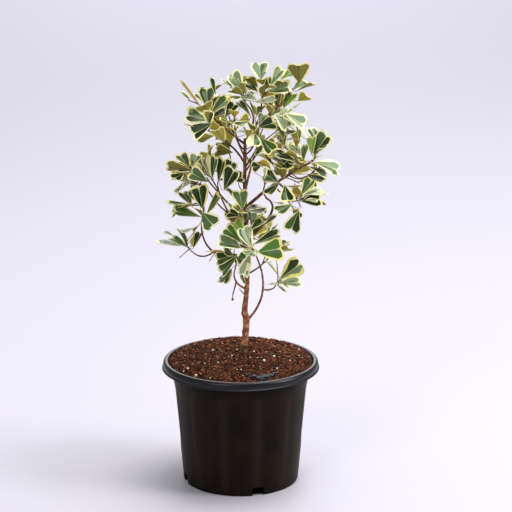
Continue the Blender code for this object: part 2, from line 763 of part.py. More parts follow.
def sight_at(across, up, depth):
    # The same for a place on that plane that has to stay open this far behind it.
    span = Vector((across, 0.0, up)) - eye
    return across, up, span.normalized(), span.length + depth


def hides(leaf, shown):
    # Whether the leaf stands between the eye and one of the places that should show.
    blade = leaf.blade()
    x, z, _, _ = sight_to((leaf.foot + leaf.tip()) / 2)
    for across, up, way, distance in shown:
        if abs(across - x) < leaf.length and abs(up - z) < leaf.length:
            if blade.ray_cast(eye, way, distance - 0.5)[0] is not None:
                return True
    return False


def seen_point(across, up, depth):
    # The point at this depth that the eye sees at this place on the plane through the axis.
    plane = Vector((across, 0.0, up))
    return eye + (plane - eye) * ((depth - eye.y) / -eye.y)


def front_leaf(spec, index, shift, shoots, nominal, fold, curl):
    x0, z0, x1, z1, depth, width, tint = spec
    foot = seen_point(x0, z0, depth + shift)
    end = seen_point(x1, z1, depth + shift)
    drawn = (end - foot).length
    length = max(drawn, (drawn + nominal) / 2)
    sight = (eye - foot).normalized()
    under = tint == "olive"
    # A blade that is drawn short leans: upper sides show where it leans back as it rises.
    away = 1 if (z1 > z0) != under else -1
    end = end - sight * (away * math.sqrt(length ** 2 - drawn ** 2))
    along = (end - foot).normalized()
    toward = (sight - along * sight.dot(along)).normalized()
    half_width = max(width, length * leaf_width_share) / 2
    roll = math.acos(width / (2 * half_width))
    faces = [Matrix.Rotation(turn, 3, along) @ toward * (-1 if under else 1) for turn in (roll, -roll)]
    face = max(faces, key=lambda item: item.z)
    root = nearest_root(shoots, foot, along, 0.011 * (index % 5))
    return Leaf(root, foot, along, face, length, half_width, fold, curl, tint)


def nearest_root(shoots, foot, along, offset):
    # The offset keeps two stalks from the same point.
    best = None
    for path, _, _ in shoots:
        for step in range(12):
            point, _ = point_along(path, 0.27 + 0.06 * step + offset)
            span = foot - point
            cost = span.length + 5 * (1 - span.normalized().dot(along))
            if span.length < 3.5:
                cost += 8
            if best is None or cost < best[0]:
                best = (cost, point)
    return best[1]


def tree_of(body):
    return BVHTree.FromPolygons(*body)


def touches(tree, others):
    return any(other.overlap(tree) for other in others)


class Mass:
    # A stem from the limb to the middle of the mass, and twigs that fork from it.
    def __init__(self, name, spec, limbs, blocked):
        self.name = name
        parent, self.share, middle, self.reach, self.count, self.leaf_length, self.lean, self.seed = spec
        self.rng = random.Random(name)
        self.limb = limbs[parent]
        self.middle = Vector(middle)
        foot, heading = point_along(self.limb.path, self.share)
        root_radius = stem_root_radius
        if self.share == 1.0:
            foot = foot + heading * gap
            root_radius = self.limb.radii[-1] * 0.9
        else:
            level = Vector((self.middle.x - foot.x, self.middle.y - foot.y, 0)).normalized()
            heading = (level + Vector((0, 0, 0.5))).normalized()
        span = (self.middle - foot).length
        turn = foot + heading * (span * 0.45)
        stem = bend(foot, turn.lerp((foot + self.middle) / 2, 0.5), self.middle, stem_steps)
        self.shoots = [(stem, taper(root_radius, stem_tip_radius, stem_steps), stem_sides)]
        self.leaf_trees = []
        others = [limb.guard for limb in limbs.values() if limb is not self.limb]
        for limb in limbs.values():
            if limb is not self.limb and limb.guard.overlap(tree_of(fatten(*self.shoots[0], gap))):
                print("stem touches a limb:", name, limb.name)
        if touches(tree_of(fatten(*self.shoots[0], gap)), blocked):
            print("stem touches another stem:", name)
        self.fork(others + blocked)
        self.guards = [tree_of(fatten(*shoot, leaf_margin)) for shoot in self.shoots]

    def fork(self, blocked):
        stem = self.shoots[0][0]
        fronts = len(front_leaves.get(self.name, ()))
        twig_count = max(0, round((self.count + fronts) / leaves_per_twig) - 1)
        phase = self.rng.uniform(0, math.tau)
        for index in range(twig_count):
            start, along = point_along(stem, 0.45 + 0.4 * index / twig_count)
            side = along.orthogonal().normalized()
            other = along.cross(side)
            for attempt in range(twig_tries):
                angle = phase + index * math.tau / twig_count + self.rng.uniform(-0.4, 0.4) * (1 + attempt)
                out = side * math.cos(angle) + other * math.sin(angle)
                aim = (along * 0.55 + out * 0.8 + Vector((0, 0, 0.15))).normalized()
                tip = start + aim * (self.reach * twig_length_share * self.rng.uniform(0.8, 1.1))
                middle = (start + tip) / 2 + along * ((tip - start).length * 0.06)
                shoot = (
                    bend(start, middle, tip, twig_steps),
                    taper(twig_root_radius, twig_tip_radius, twig_steps),
                    twig_sides,
                )
                if not touches(tree_of(fatten(*shoot, leaf_margin)), blocked):
                    self.shoots.append(shoot)
                    break

    def lay_front_leaves(self, blocked):
        # A leaf with no room at its own depth is tried a little nearer or farther.
        self.leaves = []
        self.blades = []
        for index, spec in enumerate(front_leaves.get(self.name, ())):
            fold = self.rng.uniform(0.15, 0.4)
            curl = self.rng.uniform(-0.02, 0.08)
            for shift in leaf_shifts:
                leaf = front_leaf(spec, index, shift, self.shoots, self.leaf_length * 0.82, fold, curl)
                if self.fits(leaf, blocked):
                    break
            else:
                print("no room:", self.name, spec)

    def fits(self, leaf, blocked):
        if touches(leaf.guard(), blocked) or touches(leaf.blade(leaf_margin), self.blades):
            return False
        self.blades.append(leaf.blade())
        self.leaves.append(leaf)
        return True

    def fill(self, blocked, shown):
        # These leaves follow one another round each shoot. A leaf with no room is skipped, and so
        # is one that would hide a leaf that shows from the front.
        self.rng = random.Random(self.seed)
        outward = Vector((self.middle.x - 4, self.middle.y - 2, 0)).normalized()
        for count in range(self.count):
            rank = count // len(self.shoots)
            share = max(0.12, leaf_top_share - rank * leaf_share_step)
            root, axis = point_along(self.shoots[count % len(self.shoots)][0], share)
            for attempt in range(leaf_tries):
                leaf = self.try_leaf(root, axis, share, rank * leaf_turn + count * 1.1, outward, attempt)
                if (leaf.tip() - self.middle).length > self.reach or hides(leaf, shown):
                    continue
                if self.fits(leaf, blocked):
                    break

    def try_leaf(self, root, axis, share, angle, outward, attempt):
        rng = self.rng
        side = axis.orthogonal().normalized()
        other = axis.cross(side)
        angle += rng.gauss(0, 0.25 + 0.12 * attempt)
        open_angle = math.radians(36 + 34 * (1 - share) + rng.gauss(0, 9))
        out = side * math.cos(angle) + other * math.sin(angle)
        along = axis * math.cos(open_angle) + out * math.sin(open_angle)
        along = (along + outward * 0.15 + Vector((0, 0, self.lean))).normalized()
        light = axis * 0.4 + Vector((0, 0, 0.55)) + outward * 0.45
        face = (light - along * light.dot(along)).normalized()
        face = Matrix.Rotation(rng.gauss(0, 0.55), 3, along) @ face
        size = self.leaf_length * (1 + rng.uniform(-leaf_size_spread, leaf_size_spread))
        size *= 1.0 - 0.03 * attempt
        foot = root + along * (leaf_stalk_share * size)
        length = size * (1 - leaf_stalk_share)
        half_width = length * leaf_width_share / 2
        fold = rng.uniform(0.15, 0.5)
        curl = rng.uniform(-0.02, 0.12)
        return Leaf(root, foot, along, face, length, half_width, fold, curl)

    def bodies(self):
        shoots = [skin(tube_rings(*shoot)) for shoot in self.shoots]
        return shoots + [leaf.body() for leaf in self.leaves]


def join_bodies(name, bodies, material):
    # One union on a collection turns stem, twigs and leaves into a single body.
    first = add_object(name, body_to_bmesh(bodies[0]), material)
    group = bpy.data.collections.new(f"{name}_pieces")
    bpy.context.scene.collection.children.link(group)
    pieces = []
    for index, body in enumerate(bodies[1:]):
        piece = add_object(f"{name}_piece_{index}", body_to_bmesh(body), material)
        bpy.context.scene.collection.objects.unlink(piece)
        group.objects.link(piece)
        pieces.append(piece)
    union = first.modifiers.new("union", "BOOLEAN")
    union.operation = "UNION"
    union.operand_type = "COLLECTION"
    union.collection = group
    union.solver = "MANIFOLD"
    apply_modifiers(first)
    for piece in pieces:
        bpy.data.objects.remove(piece, do_unlink=True)
    bpy.data.collections.remove(group)
    keep_largest(first)
    return first


def taken(mass, grown, laid):
    # The room that limbs, other stems and other masses' leaves take up.
    found = [tree for tree in laid if tree not in mass.guards]
    for other in grown:
        if other is not mass:
            found += other.leaf_trees
    return found


def make_masses(limbs, green):
    # Every stem is laid before the first leaf, so that no leaf takes a stem's place.
    grown = []
    laid = []
    for name, spec in masses.items():
        mass = Mass(name, spec, limbs, laid)
        grown.append(mass)
        laid += mass.guards
    laid += [limb.guard for limb in limbs.values()]
    for mass in grown:
        mass.lay_front_leaves(taken(mass, grown, laid))
        mass.leaf_trees = [tree_of(leaf.body()) for leaf in mass.leaves]
    shown = [sight_to(spot) for mass in grown for leaf in mass.leaves for spot in leaf.spots()]
    shown += [sight_at(across, up, 300.0) for across, up in open_places["sky"]]
    shown += [sight_at(across, up, 0.0) for across, up in open_places["limbs"]]
    for mass in grown:
        mass.fill(taken(mass, grown, laid), shown)
        mass.leaf_trees = [tree_of(leaf.body()) for leaf in mass.leaves]
    for mass in grown:
        item = join_bodies(mass.name, mass.bodies(), green)
        stem = tree_of(skin(tube_rings(*mass.shoots[0])))
        for limb in limbs.values():
            if tree_of(limb.clearance).overlap(stem) and mass.share < 1.0:
                cut_away(item, limb.clearance)
    return grown


def main():
    clear_scene()
    make_pot()
    make_soil()
    bark = make_material("bark", (0.16, 0.075, 0.045), 0.8)
    green = make_material("leaf", (0.10, 0.17, 0.09), 0.5)
    limbs = make_limbs(bark)
    grown = make_masses(limbs, green)
    print("leaves", sum(len(mass.leaves) for mass in grown))


main()
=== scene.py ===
import math
import random

import bmesh
import bpy
from mathutils import Matrix, Vector, noise
from mathutils.bvhtree import BVHTree


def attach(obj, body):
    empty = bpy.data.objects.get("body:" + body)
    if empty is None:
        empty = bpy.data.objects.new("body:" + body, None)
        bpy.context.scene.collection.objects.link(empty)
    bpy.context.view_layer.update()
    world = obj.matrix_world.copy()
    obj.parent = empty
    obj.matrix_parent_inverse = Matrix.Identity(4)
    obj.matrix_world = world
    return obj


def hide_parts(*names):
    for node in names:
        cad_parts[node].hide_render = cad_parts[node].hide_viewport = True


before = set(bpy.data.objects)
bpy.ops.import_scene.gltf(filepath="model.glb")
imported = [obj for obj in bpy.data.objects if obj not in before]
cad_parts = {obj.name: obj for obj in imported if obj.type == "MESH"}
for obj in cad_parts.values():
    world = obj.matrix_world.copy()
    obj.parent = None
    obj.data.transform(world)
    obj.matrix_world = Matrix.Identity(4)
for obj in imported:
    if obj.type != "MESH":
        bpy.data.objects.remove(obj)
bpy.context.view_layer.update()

mm = 0.001
eye = Vector((15.5, -2217.4, 845.4))  # where the photograph was taken from
# its camera: angle down, distance from a point on the axis in metres, that point's height, and
# the focal length in pixels and in millimetres
view = {"pitch": math.radians(15.4), "distance": 2.3, "aimHeight": 0.2346, "focal": 2295.0, "lens": 161.4}
noise.seed_set(7)  # noise_vector would take its offsets from the clock otherwise


# Finishes

def addNode(tree, kind, inputs=(), **settings):
    # Each input takes a plain value or another node's output. The nodes stand in a row.
    node = tree.nodes.new("ShaderNode" + kind)
    node.location = (240 * len(tree.nodes) - 1500, 0)
    for name, value in settings.items():
        setattr(node, name, value)
    for name, value in dict(inputs).items():
        if isinstance(value, bpy.types.NodeSocket):
            tree.links.new(value, node.inputs[name])
        else:
            node.inputs[name].default_value = value
    return node


def newGroup(name, inputs, build):
    # An effect that materials share. build makes its outputs from its inputs.
    tree = bpy.data.node_groups.new(name, "ShaderNodeTree")
    for label, (kind, value) in inputs.items():
        socket = tree.interface.new_socket(name=label, in_out="INPUT", socket_type="NodeSocket" + kind)
        socket.default_value = value
    outputs = build(tree, tree.nodes.new("NodeGroupInput").outputs)
    for label in outputs:
        kind = "Color" if label == "Colour" else "Float"
        tree.interface.new_socket(name=label, in_out="OUTPUT", socket_type="NodeSocket" + kind)
    end = tree.nodes.new("NodeGroupOutput")
    for label, socket in outputs.items():
        tree.links.new(socket, end.inputs[label])
    return tree


def mixColours(tree, share, under, over):
    return addNode(tree, "Mix", {0: share, 6: under, 7: over}, data_type="RGBA").outputs[2]


def addNoise(tree, place, scale, detail, roughness):
    values = {"Vector": place, "Scale": scale, "Detail": detail, "Roughness": roughness}
    return addNode(tree, "TexNoise", values).outputs["Fac"]


def layMottle(tree, given):
    # Two colours in soft patches.
    place = addNode(tree, "TexCoord").outputs["Object"]
    cloud = addNoise(tree, place, given["Scale"], 5.0, 0.62)
    edge = {0: given["Level"], 1: given["Softness"]}
    low = addNode(tree, "Math", edge, operation="SUBTRACT").outputs[0]
    high = addNode(tree, "Math", edge, operation="ADD").outputs[0]
    mask = addNode(tree, "MapRange", {"Value": cloud, "From Min": low, "From Max": high}).outputs["Result"]
    return {"Colour": mixColours(tree, mask, given["Base"], given["Other"]), "Mask": mask}


def layGrain(tree, given):
    # Fine relief, stretched along one axis by Stretch.
    place = addNode(tree, "TexCoord").outputs["Object"]
    along = addNode(tree, "VectorMath", {0: place, 1: given["Stretch"]}, operation="MULTIPLY")
    return {"Height": addNoise(tree, along.outputs[0], given["Scale"], 6.0, 0.7)}


mottle = newGroup("mottle", {
    "Base": ("Color", (0.5, 0.5, 0.5, 1.0)), "Other": ("Color", (0.8, 0.8, 0.8, 1.0)),
    "Scale": ("Float", 200.0), "Level": ("Float", 0.5), "Softness": ("Float", 0.15),
}, layMottle)
grain = newGroup("grain", {"Scale": ("Float", 600.0), "Stretch": ("Vector", (1.0, 1.0, 1.0))}, layGrain)


def newFinish(name, roughness, specular, bump, depth, relief):
    material = bpy.data.materials.new(name)
    material.use_nodes = True
    tree = material.node_tree
    shader = tree.nodes["Principled BSDF"].inputs
    shader["Roughness"].default_value = roughness
    shader["Specular IOR Level"].default_value = specular
    height = addNode(tree, "Group", relief, node_tree=grain).outputs["Height"]
    rise = addNode(tree, "Bump", {"Strength": bump, "Distance": depth * mm, "Height": height})
    tree.links.new(rise.outputs["Normal"], shader["Normal"])
    return material, tree, shader["Base Color"]


def plainFinish(name, colour, roughness, specular=0.5, bump=0.25, scale=900.0, depth=0.12):
    # One base colour, with fine relief. Tints that have a place are dealt out piece by piece.
    material, _, base = newFinish(name, roughness, specular, bump, depth, {"Scale": scale})
    base.default_value = (*colour, 1.0)
    return material


def mottledFinish(name, colour, other, roughness, scale, level=0.5, softness=0.15,
                  bump=0.5, depth=0.4, specular=0.5, reliefScale=700.0, stretch=(1.0, 1.0, 1.0)):
    relief = {"Scale": reliefScale, "Stretch": stretch}
    material, tree, base = newFinish(name, roughness, specular, bump, depth, relief)
    patches = addNode(tree, "Group", {
        "Base": (*colour, 1.0), "Other": (*other, 1.0), "Scale": scale,
        "Level": level, "Softness": softness,
    }, node_tree=mottle)
    tree.links.new(patches.outputs["Colour"], base)
    return material


def tintOver(material, share, colour):
    # A further colour over the finish.
    tree = material.node_tree
    base = tree.nodes["Principled BSDF"].inputs["Base Color"]
    tree.links.new(mixColours(tree, share, base.links[0].from_socket, (*colour, 1.0)), base)


print("finishes ready")


# Pieces

def newObject(name, bm, finishes=()):
    mesh = bpy.data.meshes.new(name)
    bm.to_mesh(mesh)
    bm.free()
    for finish in finishes:
        mesh.materials.append(finish)
    made = bpy.data.objects.new(name, mesh)
    bpy.context.scene.collection.objects.link(made)
    return made


def addPiece(name, bm, finishes, nodes, smoothAngle=None):
    piece = newObject(name, bm, finishes)
    if smoothAngle is not None:
        piece.data.shade_smooth()
        piece.data.set_sharp_from_angle(angle=math.radians(smoothAngle))
    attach(piece, "root")
    if nodes:
        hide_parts(*nodes)
    print(name, len(piece.data.polygons), "faces")
    return piece


def cutAway(piece, cutter):
    cut = piece.modifiers.new("cut", "BOOLEAN")
    cut.operation = "DIFFERENCE"
    cut.object = cutter
    graph = bpy.context.evaluated_depsgraph_get()
    old = piece.data
    piece.data = bpy.data.meshes.new_from_object(piece.evaluated_get(graph))
    piece.modifiers.clear()
    bpy.data.meshes.remove(old)
    piece.data.name = piece.name
    bpy.data.objects.remove(cutter, do_unlink=True)


# Pot

pot = {
    "rimRadius": 79.8, "rimEdgeHeight": 118.0, "lipRadius": 78.6, "height": 126.2,
    "mouthRadius": 73.0, "wallTopRadius": 68.2, "wallTopHeight": 107.0, "footRadius": 58.5,
    "thickness": 1.2, "floorThickness": 1.8, "segments": 192,
    "fluteCount": 12, "fluteTurn": -75.0, "fluteDepth": 0.75, "fluteFoot": 34.0, "fluteTop": 103.0,
    "fadeBelow": 14.0, "fadeAbove": 5.0, "ridgeWidth": 2.6, "sheenWidth": 0.16,
    "notchCount": 4, "notchTurn": -72.5, "notchWidth": 12.0, "notchHeight": 8.8, "notchDepth": 9.0,
}


def wallRadius(height):
    return pot["footRadius"] + (pot["wallTopRadius"] - pot["footRadius"]) * height / pot["wallTopHeight"]


def potProfile():
    rim, lip, top = pot["rimRadius"], pot["lipRadius"], pot["height"]
    edge, wallTop, foot = pot["rimEdgeHeight"], pot["wallTopRadius"], pot["footRadius"]
    innerTop = wallTop - pot["thickness"]
    profile = [(0.0, 0.0), (20.0, 0.0), (foot - 4.0, 0.0), (foot - 1.0, 0.0), (foot - 0.3, 0.25)]
    profile.append((foot, 0.9))
    for height in (3.0, 6.0, 12.0, 20.0, 28.0, 34.0, 40.0, 48.0, 58.0, 68.0, 78.0, 88.0, 95.0, 100.0, 104.0):
        profile.append((wallRadius(height), height))
    profile += [
        (wallTop - 0.05, 106.4), (wallTop + 0.35, 107.2), (wallTop + 0.8, edge - 1.6),
        (wallTop + 1.5, edge - 0.9), (lip - 4.2, edge + 2.6), (rim - 3.4, edge + 0.9), (rim - 1.4, edge),
        (rim - 0.5, edge), (rim, edge + 0.3), (rim, edge + 0.8), (rim - 0.35, edge + 1.2),
        (lip + 0.25, edge + 1.6), (lip + 0.4, edge + 3.0), (lip + 0.3, top - 3.6), (lip, top - 2.4),
        (lip - 0.5, top - 1.3), (lip - 1.3, top - 0.5), (lip - 2.3, top - 0.1), (lip - 3.3, top),
        (lip - 4.3, top - 0.2), (pot["mouthRadius"] + 0.5, top - 0.7), (pot["mouthRadius"], top - 1.6),
        (pot["mouthRadius"] - 0.3, top - 3.4), (innerTop + 0.8, edge), (innerTop, 107.0),
        (foot - pot["thickness"], pot["floorThickness"]), (0.0, pot["floorThickness"]),
    ]
    return profile


def turned(profile, segments):
    bm = bmesh.new()
    points = [bm.verts.new((radius * mm, 0, height * mm)) for radius, height in profile]
    edges = [bm.edges.new(pair) for pair in zip(points, points[1:])]
    bmesh.ops.spin(
        bm, geom=points + edges, cent=(0, 0, 0), axis=(0, 0, 1), angle=math.tau,
        steps=segments, use_merge=True,
    )
    bmesh.ops.remove_doubles(bm, verts=bm.verts, dist=0.01 * mm)
    bmesh.ops.recalc_face_normals(bm, faces=bm.faces)
    return bm


def limited(share):
    return min(1.0, max(0.0, share))


def fluteWall(bm):
    # Broad shallow flutes between narrow soft ridges, fading out above the foot. The ridges are
    # marked as sheen: painted highlight, a warmer, paler black where light catches them.
    sheen = bm.verts.layers.float.new("sheen")
    pitch = 360.0 / pot["fluteCount"]
    for vert in bm.verts:
        radius = math.hypot(vert.co.x, vert.co.y) / mm
        height = vert.co.z / mm
        if radius > wallRadius(height) - pot["thickness"] / 2 and 5 < height < 106:
            angle = math.degrees(math.atan2(vert.co.y, vert.co.x))
            place = ((angle - pot["fluteTurn"]) / pitch) % 1.0
            away = min(place, 1.0 - place)
            fade = limited((height - pot["fluteFoot"]) / pot["fadeBelow"])
            fade *= limited((pot["fluteTop"] - height) / pot["fadeAbove"])
            hollow = 0.35 + 0.65 * math.sin(math.pi * place) ** 0.5
            ridge = math.exp(-(away * pitch / pot["ridgeWidth"]) ** 2)
            dip = pot["fluteDepth"] * fade * hollow * (1.0 - ridge)
            vert[sheen] = math.exp(-(away / pot["sheenWidth"]) ** 2)
            vert.co.xy = vert.co.xy * (1.0 - dip / radius)


def buildPot():
    bm = turned(potProfile(), pot["segments"])
    fluteWall(bm)
    for face in bm.faces:
        if face.calc_center_median().z > (pot["rimEdgeHeight"] - 0.3) * mm:
            face.material_index = 1
    wall = mottledFinish(
        "blackPlastic", (0.0052, 0.0031, 0.0018), (0.0140, 0.0074, 0.0038), 0.46, 30.0, 0.54, 0.2,
        bump=0.08, depth=0.2, specular=0.07, reliefScale=260.0,
    )
    # the lip is the same black plastic, tinted cooler and bluer as painted reflection of the bright sky
    # above
    lip = mottledFinish(
        "lipPlastic", (0.0040, 0.0044, 0.0062), (0.0075, 0.0080, 0.0100), 0.32, 60.0, 0.5, 0.2,
        bump=0.10, depth=0.2, specular=0.29, reliefScale=260.0,
    )
    # painted highlight: the flute ridges are tinted a warmer, paler black, as light catches them
    ridgeSheen = addNode(wall.node_tree, "Attribute", attribute_name="sheen")
    tintOver(wall, ridgeSheen.outputs["Fac"], (0.0180, 0.0098, 0.0055))
    specks = {"Scale": 620.0, "Level": 0.74, "Softness": 0.02}
    dust = addNode(wall.node_tree, "Group", specks, node_tree=mottle)
    tintOver(wall, dust.outputs["Mask"], (0.085, 0.058, 0.042))
    piece = addPiece("potShell", bm, [wall, lip], ["pot"], 32)
    size = Matrix.Diagonal((pot["notchDepth"] * mm, pot["notchWidth"] * mm, 2 * pot["notchHeight"] * mm, 1))
    out = Matrix.Translation((pot["footRadius"] * mm, 0, 0))
    for index in range(pot["notchCount"]):
        angle = math.radians(pot["notchTurn"] + index * 360 / pot["notchCount"])
        block = bmesh.new()
        bmesh.ops.create_cube(block, size=1.0, matrix=Matrix.Rotation(angle, 4, "Z") @ out @ size)
        cutAway(piece, newObject("notchCutter", block))


buildPot()


# Soil

soil = {
    "edgeHeight": 124.6, "mound": 6.8, "moundExponent": 5, "backRise": 0.025, "radius": 72.4,
    "trunkSpot": (3.0, 5.0), "collar": 1.5, "bareSpot": (3.7, 5.0), "bareRadius": 6.5, "seed": 7,
    "chips": 2700, "chipSizes": (0.6, 0.8, 1.1, 1.5), "chipToneShares": (10, 7, 4, 6),
    "fibres": 330, "fibreLengths": (3.5, 11.0), "fibreRadii": (0.16, 0.34), "fibreSteps": 4,
    "grains": 34, "grainRadii": (0.35, 0.45, 0.6),
    # a sight of the photograph starts at this height, goes down by this step and stays within
    # this reach
    "sightTop": 138.0, "sightStep": 0.3, "sightReach": 70.0,
    # places in the photograph: dark flakes with their length and width, and white grains with
    # their radius
    "slate": (
        (248, 375, 6.0, 2.6), (253, 377, 6.0, 4.2), (259, 378, 8.0, 6.5), (265, 377, 7.5, 6.0),
        (270, 376, 6.5, 4.5), (275, 374, 6.0, 2.8), (262, 380, 9.0, 2.4),
    ),
    "seenGrains": (
        (213, 351, 1.5), (254, 352, 1.0), (274, 357, 1.3), (264, 361, 1.3), (196, 376, 1.2), (218, 363, 0.9),
        (277, 369, 1.0), (188, 369, 1.1), (299, 350, 1.0), (268, 339, 1.0), (284, 340, 0.9), (241, 370, 0.9),
        (205, 364, 0.7), (232, 356, 0.8), (290, 361, 0.8), (237, 350, 0.9), (225, 345, 0.7), (250, 358, 0.7),
    ),
}


def soilHeight(x, y):
    reach = min(1.0, math.hypot(x, y) / pot["mouthRadius"])
    lumps = noise.fractal(Vector((x, y, 3.0)) * 0.16, 0.9, 2.1, 4) * 0.6
    lumps += noise.noise(Vector((x, y, 9.0)) * 0.5) * 0.45 + 0.1
    fromTrunk = math.dist((x, y), soil["trunkSpot"])
    collar = soil["collar"] * math.exp(-fromTrunk ** 2 / 50)
    rise = soil["mound"] * (1 - reach ** soil["moundExponent"]) + soil["backRise"] * y
    return soil["edgeHeight"] + rise + collar + lumps * (1 - reach ** 8)


def onSoil(x, y):
    return Vector((x, y, soilHeight(x, y)))


def pixelOnSoil(u, v):
    # The place on the soil that shows at this pixel of the photograph.
    look = Vector((0, math.cos(view["pitch"]), -math.sin(view["pitch"])))
    up = Vector((0, math.sin(view["pitch"]), math.cos(view["pitch"])))
    sight = look * view["focal"] + Vector((1, 0, 0)) * (u - 256) + up * (256 - v)
    spot = eye + sight * ((soil["sightTop"] - eye.z) / sight.z)
    while spot.z > soilHeight(spot.x, spot.y):
        spot += sight * (soil["sightStep"] / view["focal"])
    spot *= min(1.0, soil["sightReach"] / math.hypot(spot.x, spot.y))
    return onSoil(spot.x, spot.y)


def buildSoil():
    rings = [(soil["radius"] * index / 34, 0.0) for index in range(35)]
    profile = [(0.0, 116.0), (64.0, 116.0), (66.2, 119.0), (70.6, 122.8), (soil["radius"] + 0.1, 123.6)]
    bm = turned(profile + list(reversed(rings)), 120)
    for vert in bm.verts:
        if vert.co.z < 1 * mm:
            vert.co.z = soilHeight(vert.co.x / mm, vert.co.y / mm) * mm
    bmesh.ops.recalc_face_normals(bm, faces=bm.faces)
    loam = mottledFinish(
        "coirLoam", (0.010, 0.003, 0.0015), (0.120, 0.034, 0.012), 0.95, 420.0, 0.53, 0.08,
        bump=0.9, depth=0.9, specular=0.2, reliefScale=500.0,
    )
    addPiece("soilMound", bm, [loam], ["soil"], 60)


def patternMesh(name, build):
    bm = bmesh.new()
    build(bm)
    bmesh.ops.recalc_face_normals(bm, faces=bm.faces)
    mesh = bpy.data.meshes.new(name)
    bm.to_mesh(mesh)
    bm.free()
    return mesh


def layPattern(bm, mesh, materialIndex=None):
    # Adds a copy of the pattern and gives its points and faces.
    firstVert = len(bm.verts)
    firstFace = len(bm.faces)
    bm.from_mesh(mesh)
    bm.verts.ensure_lookup_table()
    bm.faces.ensure_lookup_table()
    faces = bm.faces[firstFace:]
    if materialIndex is not None:
        for face in faces:
            face.material_index = materialIndex
    return bm.verts[firstVert:], faces


def soilSpot(rng, spread=1.0):
    angle = rng.uniform(0, math.tau)
    reach = soil["radius"] * math.sqrt(rng.random()) * spread
    spot = (reach * math.cos(angle), reach * math.sin(angle))
    if math.dist(spot, soil["bareSpot"]) < soil["bareRadius"]:
        return soilSpot(rng, spread)
    return onSoil(*spot)


def buildChips(rng):
    bm = bmesh.new()
    chip = patternMesh("chipPattern", lambda made: bmesh.ops.create_cube(made, size=1.0))
    for count in range(soil["chips"]):
        spot = soilSpot(rng, 0.985)
        size = rng.choice(soil["chipSizes"])
        shape = Vector((size * rng.uniform(1.0, 2.4), size, size * rng.uniform(0.35, 0.8)))
        turn = Matrix.Rotation(rng.uniform(0, math.tau), 3, "Z") @ Matrix.Rotation(rng.gauss(0, 0.5), 3, "X")
        turn = turn @ Matrix.Rotation(rng.gauss(0, 0.4), 3, "Y")
        verts, _ = layPattern(bm, chip, rng.choices((0, 1, 2, 3), soil["chipToneShares"])[0])
        for vert in verts:
            corner = Vector((a * b * rng.uniform(0.55, 1.15) for a, b in zip(vert.co, shape)))
            vert.co = (spot + turn @ corner + Vector((0, 0, shape.z * 0.25))) * mm
    for u, v, length, width in soil["slate"]:
        spot = pixelOnSoil(u, v)
        verts, _ = layPattern(bm, chip, 4)
        turn = Matrix.Rotation(rng.gauss(0.15, 0.2), 3, "Z") @ Matrix.Rotation(rng.gauss(0, 0.08), 3, "X")
        for vert in verts:
            corner = Vector((vert.co.x * length, vert.co.y * width, vert.co.z * 1.6)) * rng.uniform(0.7, 1.2)
            vert.co = (spot + turn @ corner + Vector((0, 0, 0.6))) * mm
    tones = {
        "coirRed": ((0.28, 0.080, 0.030), (0.110, 0.028, 0.010), 0.9, 500.0, 0.12),
        "coirDark": ((0.020, 0.005, 0.002), (0.055, 0.015, 0.006), 0.95, 500.0, 0.1),
        "coirLight": ((0.60, 0.265, 0.130), (0.32, 0.110, 0.045), 0.85, 500.0, 0.2),
        "coirBlack": ((0.005, 0.002, 0.002), (0.014, 0.006, 0.004), 0.9, 500.0, 0.1),
        "coirSlate": ((0.006, 0.009, 0.014), (0.028, 0.036, 0.050), 0.6, 300.0, 0.3),
    }
    finishes = [mottledFinish(name, *tone, specular=shine) for name, (*tone, shine) in tones.items()]
    addPiece("soilChips", bm, finishes, [])


def buildFibres(rng):
    bm = bmesh.new()
    steps = soil["fibreSteps"]
    for count in range(soil["fibres"]):
        start = soilSpot(rng, 0.95)
        heading = rng.uniform(0, math.tau)
        length = rng.uniform(*soil["fibreLengths"])
        bendAngle = rng.gauss(0, 0.5)
        path = []
        for step in range(steps + 1):
            angle = heading + bendAngle * step / steps
            x = start.x + math.cos(angle) * length * step / steps
            y = start.y + math.sin(angle) * length * step / steps
            if math.hypot(x, y) > soil["radius"] - 0.8:
                break
            path.append(onSoil(x, y) + Vector((0, 0, 0.45 + rng.uniform(-0.3, 0.5))))
        if len(path) > 2:
            drawTube(bm, path, [rng.uniform(*soil["fibreRadii"])] * len(path), 3, rng.choice((0, 0, 1)))
    strands = [
        mottledFinish("fibreLight", (0.36, 0.155, 0.075), (0.20, 0.075, 0.036), 0.8, 300.0, specular=0.25),
        mottledFinish("fibreDark", (0.10, 0.036, 0.020), (0.055, 0.020, 0.011), 0.9, 300.0, specular=0.2),
    ]
    addPiece("soilFibres", bm, strands, [], 60)


def buildGrains(rng):
    bm = bmesh.new()
    grainShape = patternMesh(
        "grainPattern", lambda made: bmesh.ops.create_icosphere(made, subdivisions=1, radius=1.0)
    )
    spots = [(pixelOnSoil(u, v), size) for u, v, size in soil["seenGrains"]]
    spots += [(soilSpot(rng, 0.96), rng.choice(soil["grainRadii"])) for count in range(soil["grains"])]
    for spot, size in spots:
        verts, _ = layPattern(bm, grainShape)
        for vert in verts:
            vert.co = (spot + vert.co * size * rng.uniform(0.85, 1.35) + Vector((0, 0, size * 0.5))) * mm
    perlite = plainFinish("perlite", (1.0, 0.91, 0.72), 0.8, specular=0.4, bump=0.2)
    addPiece("perliteGrains", bm, [perlite], [], 40)


# Limbs

tubePatterns = {}


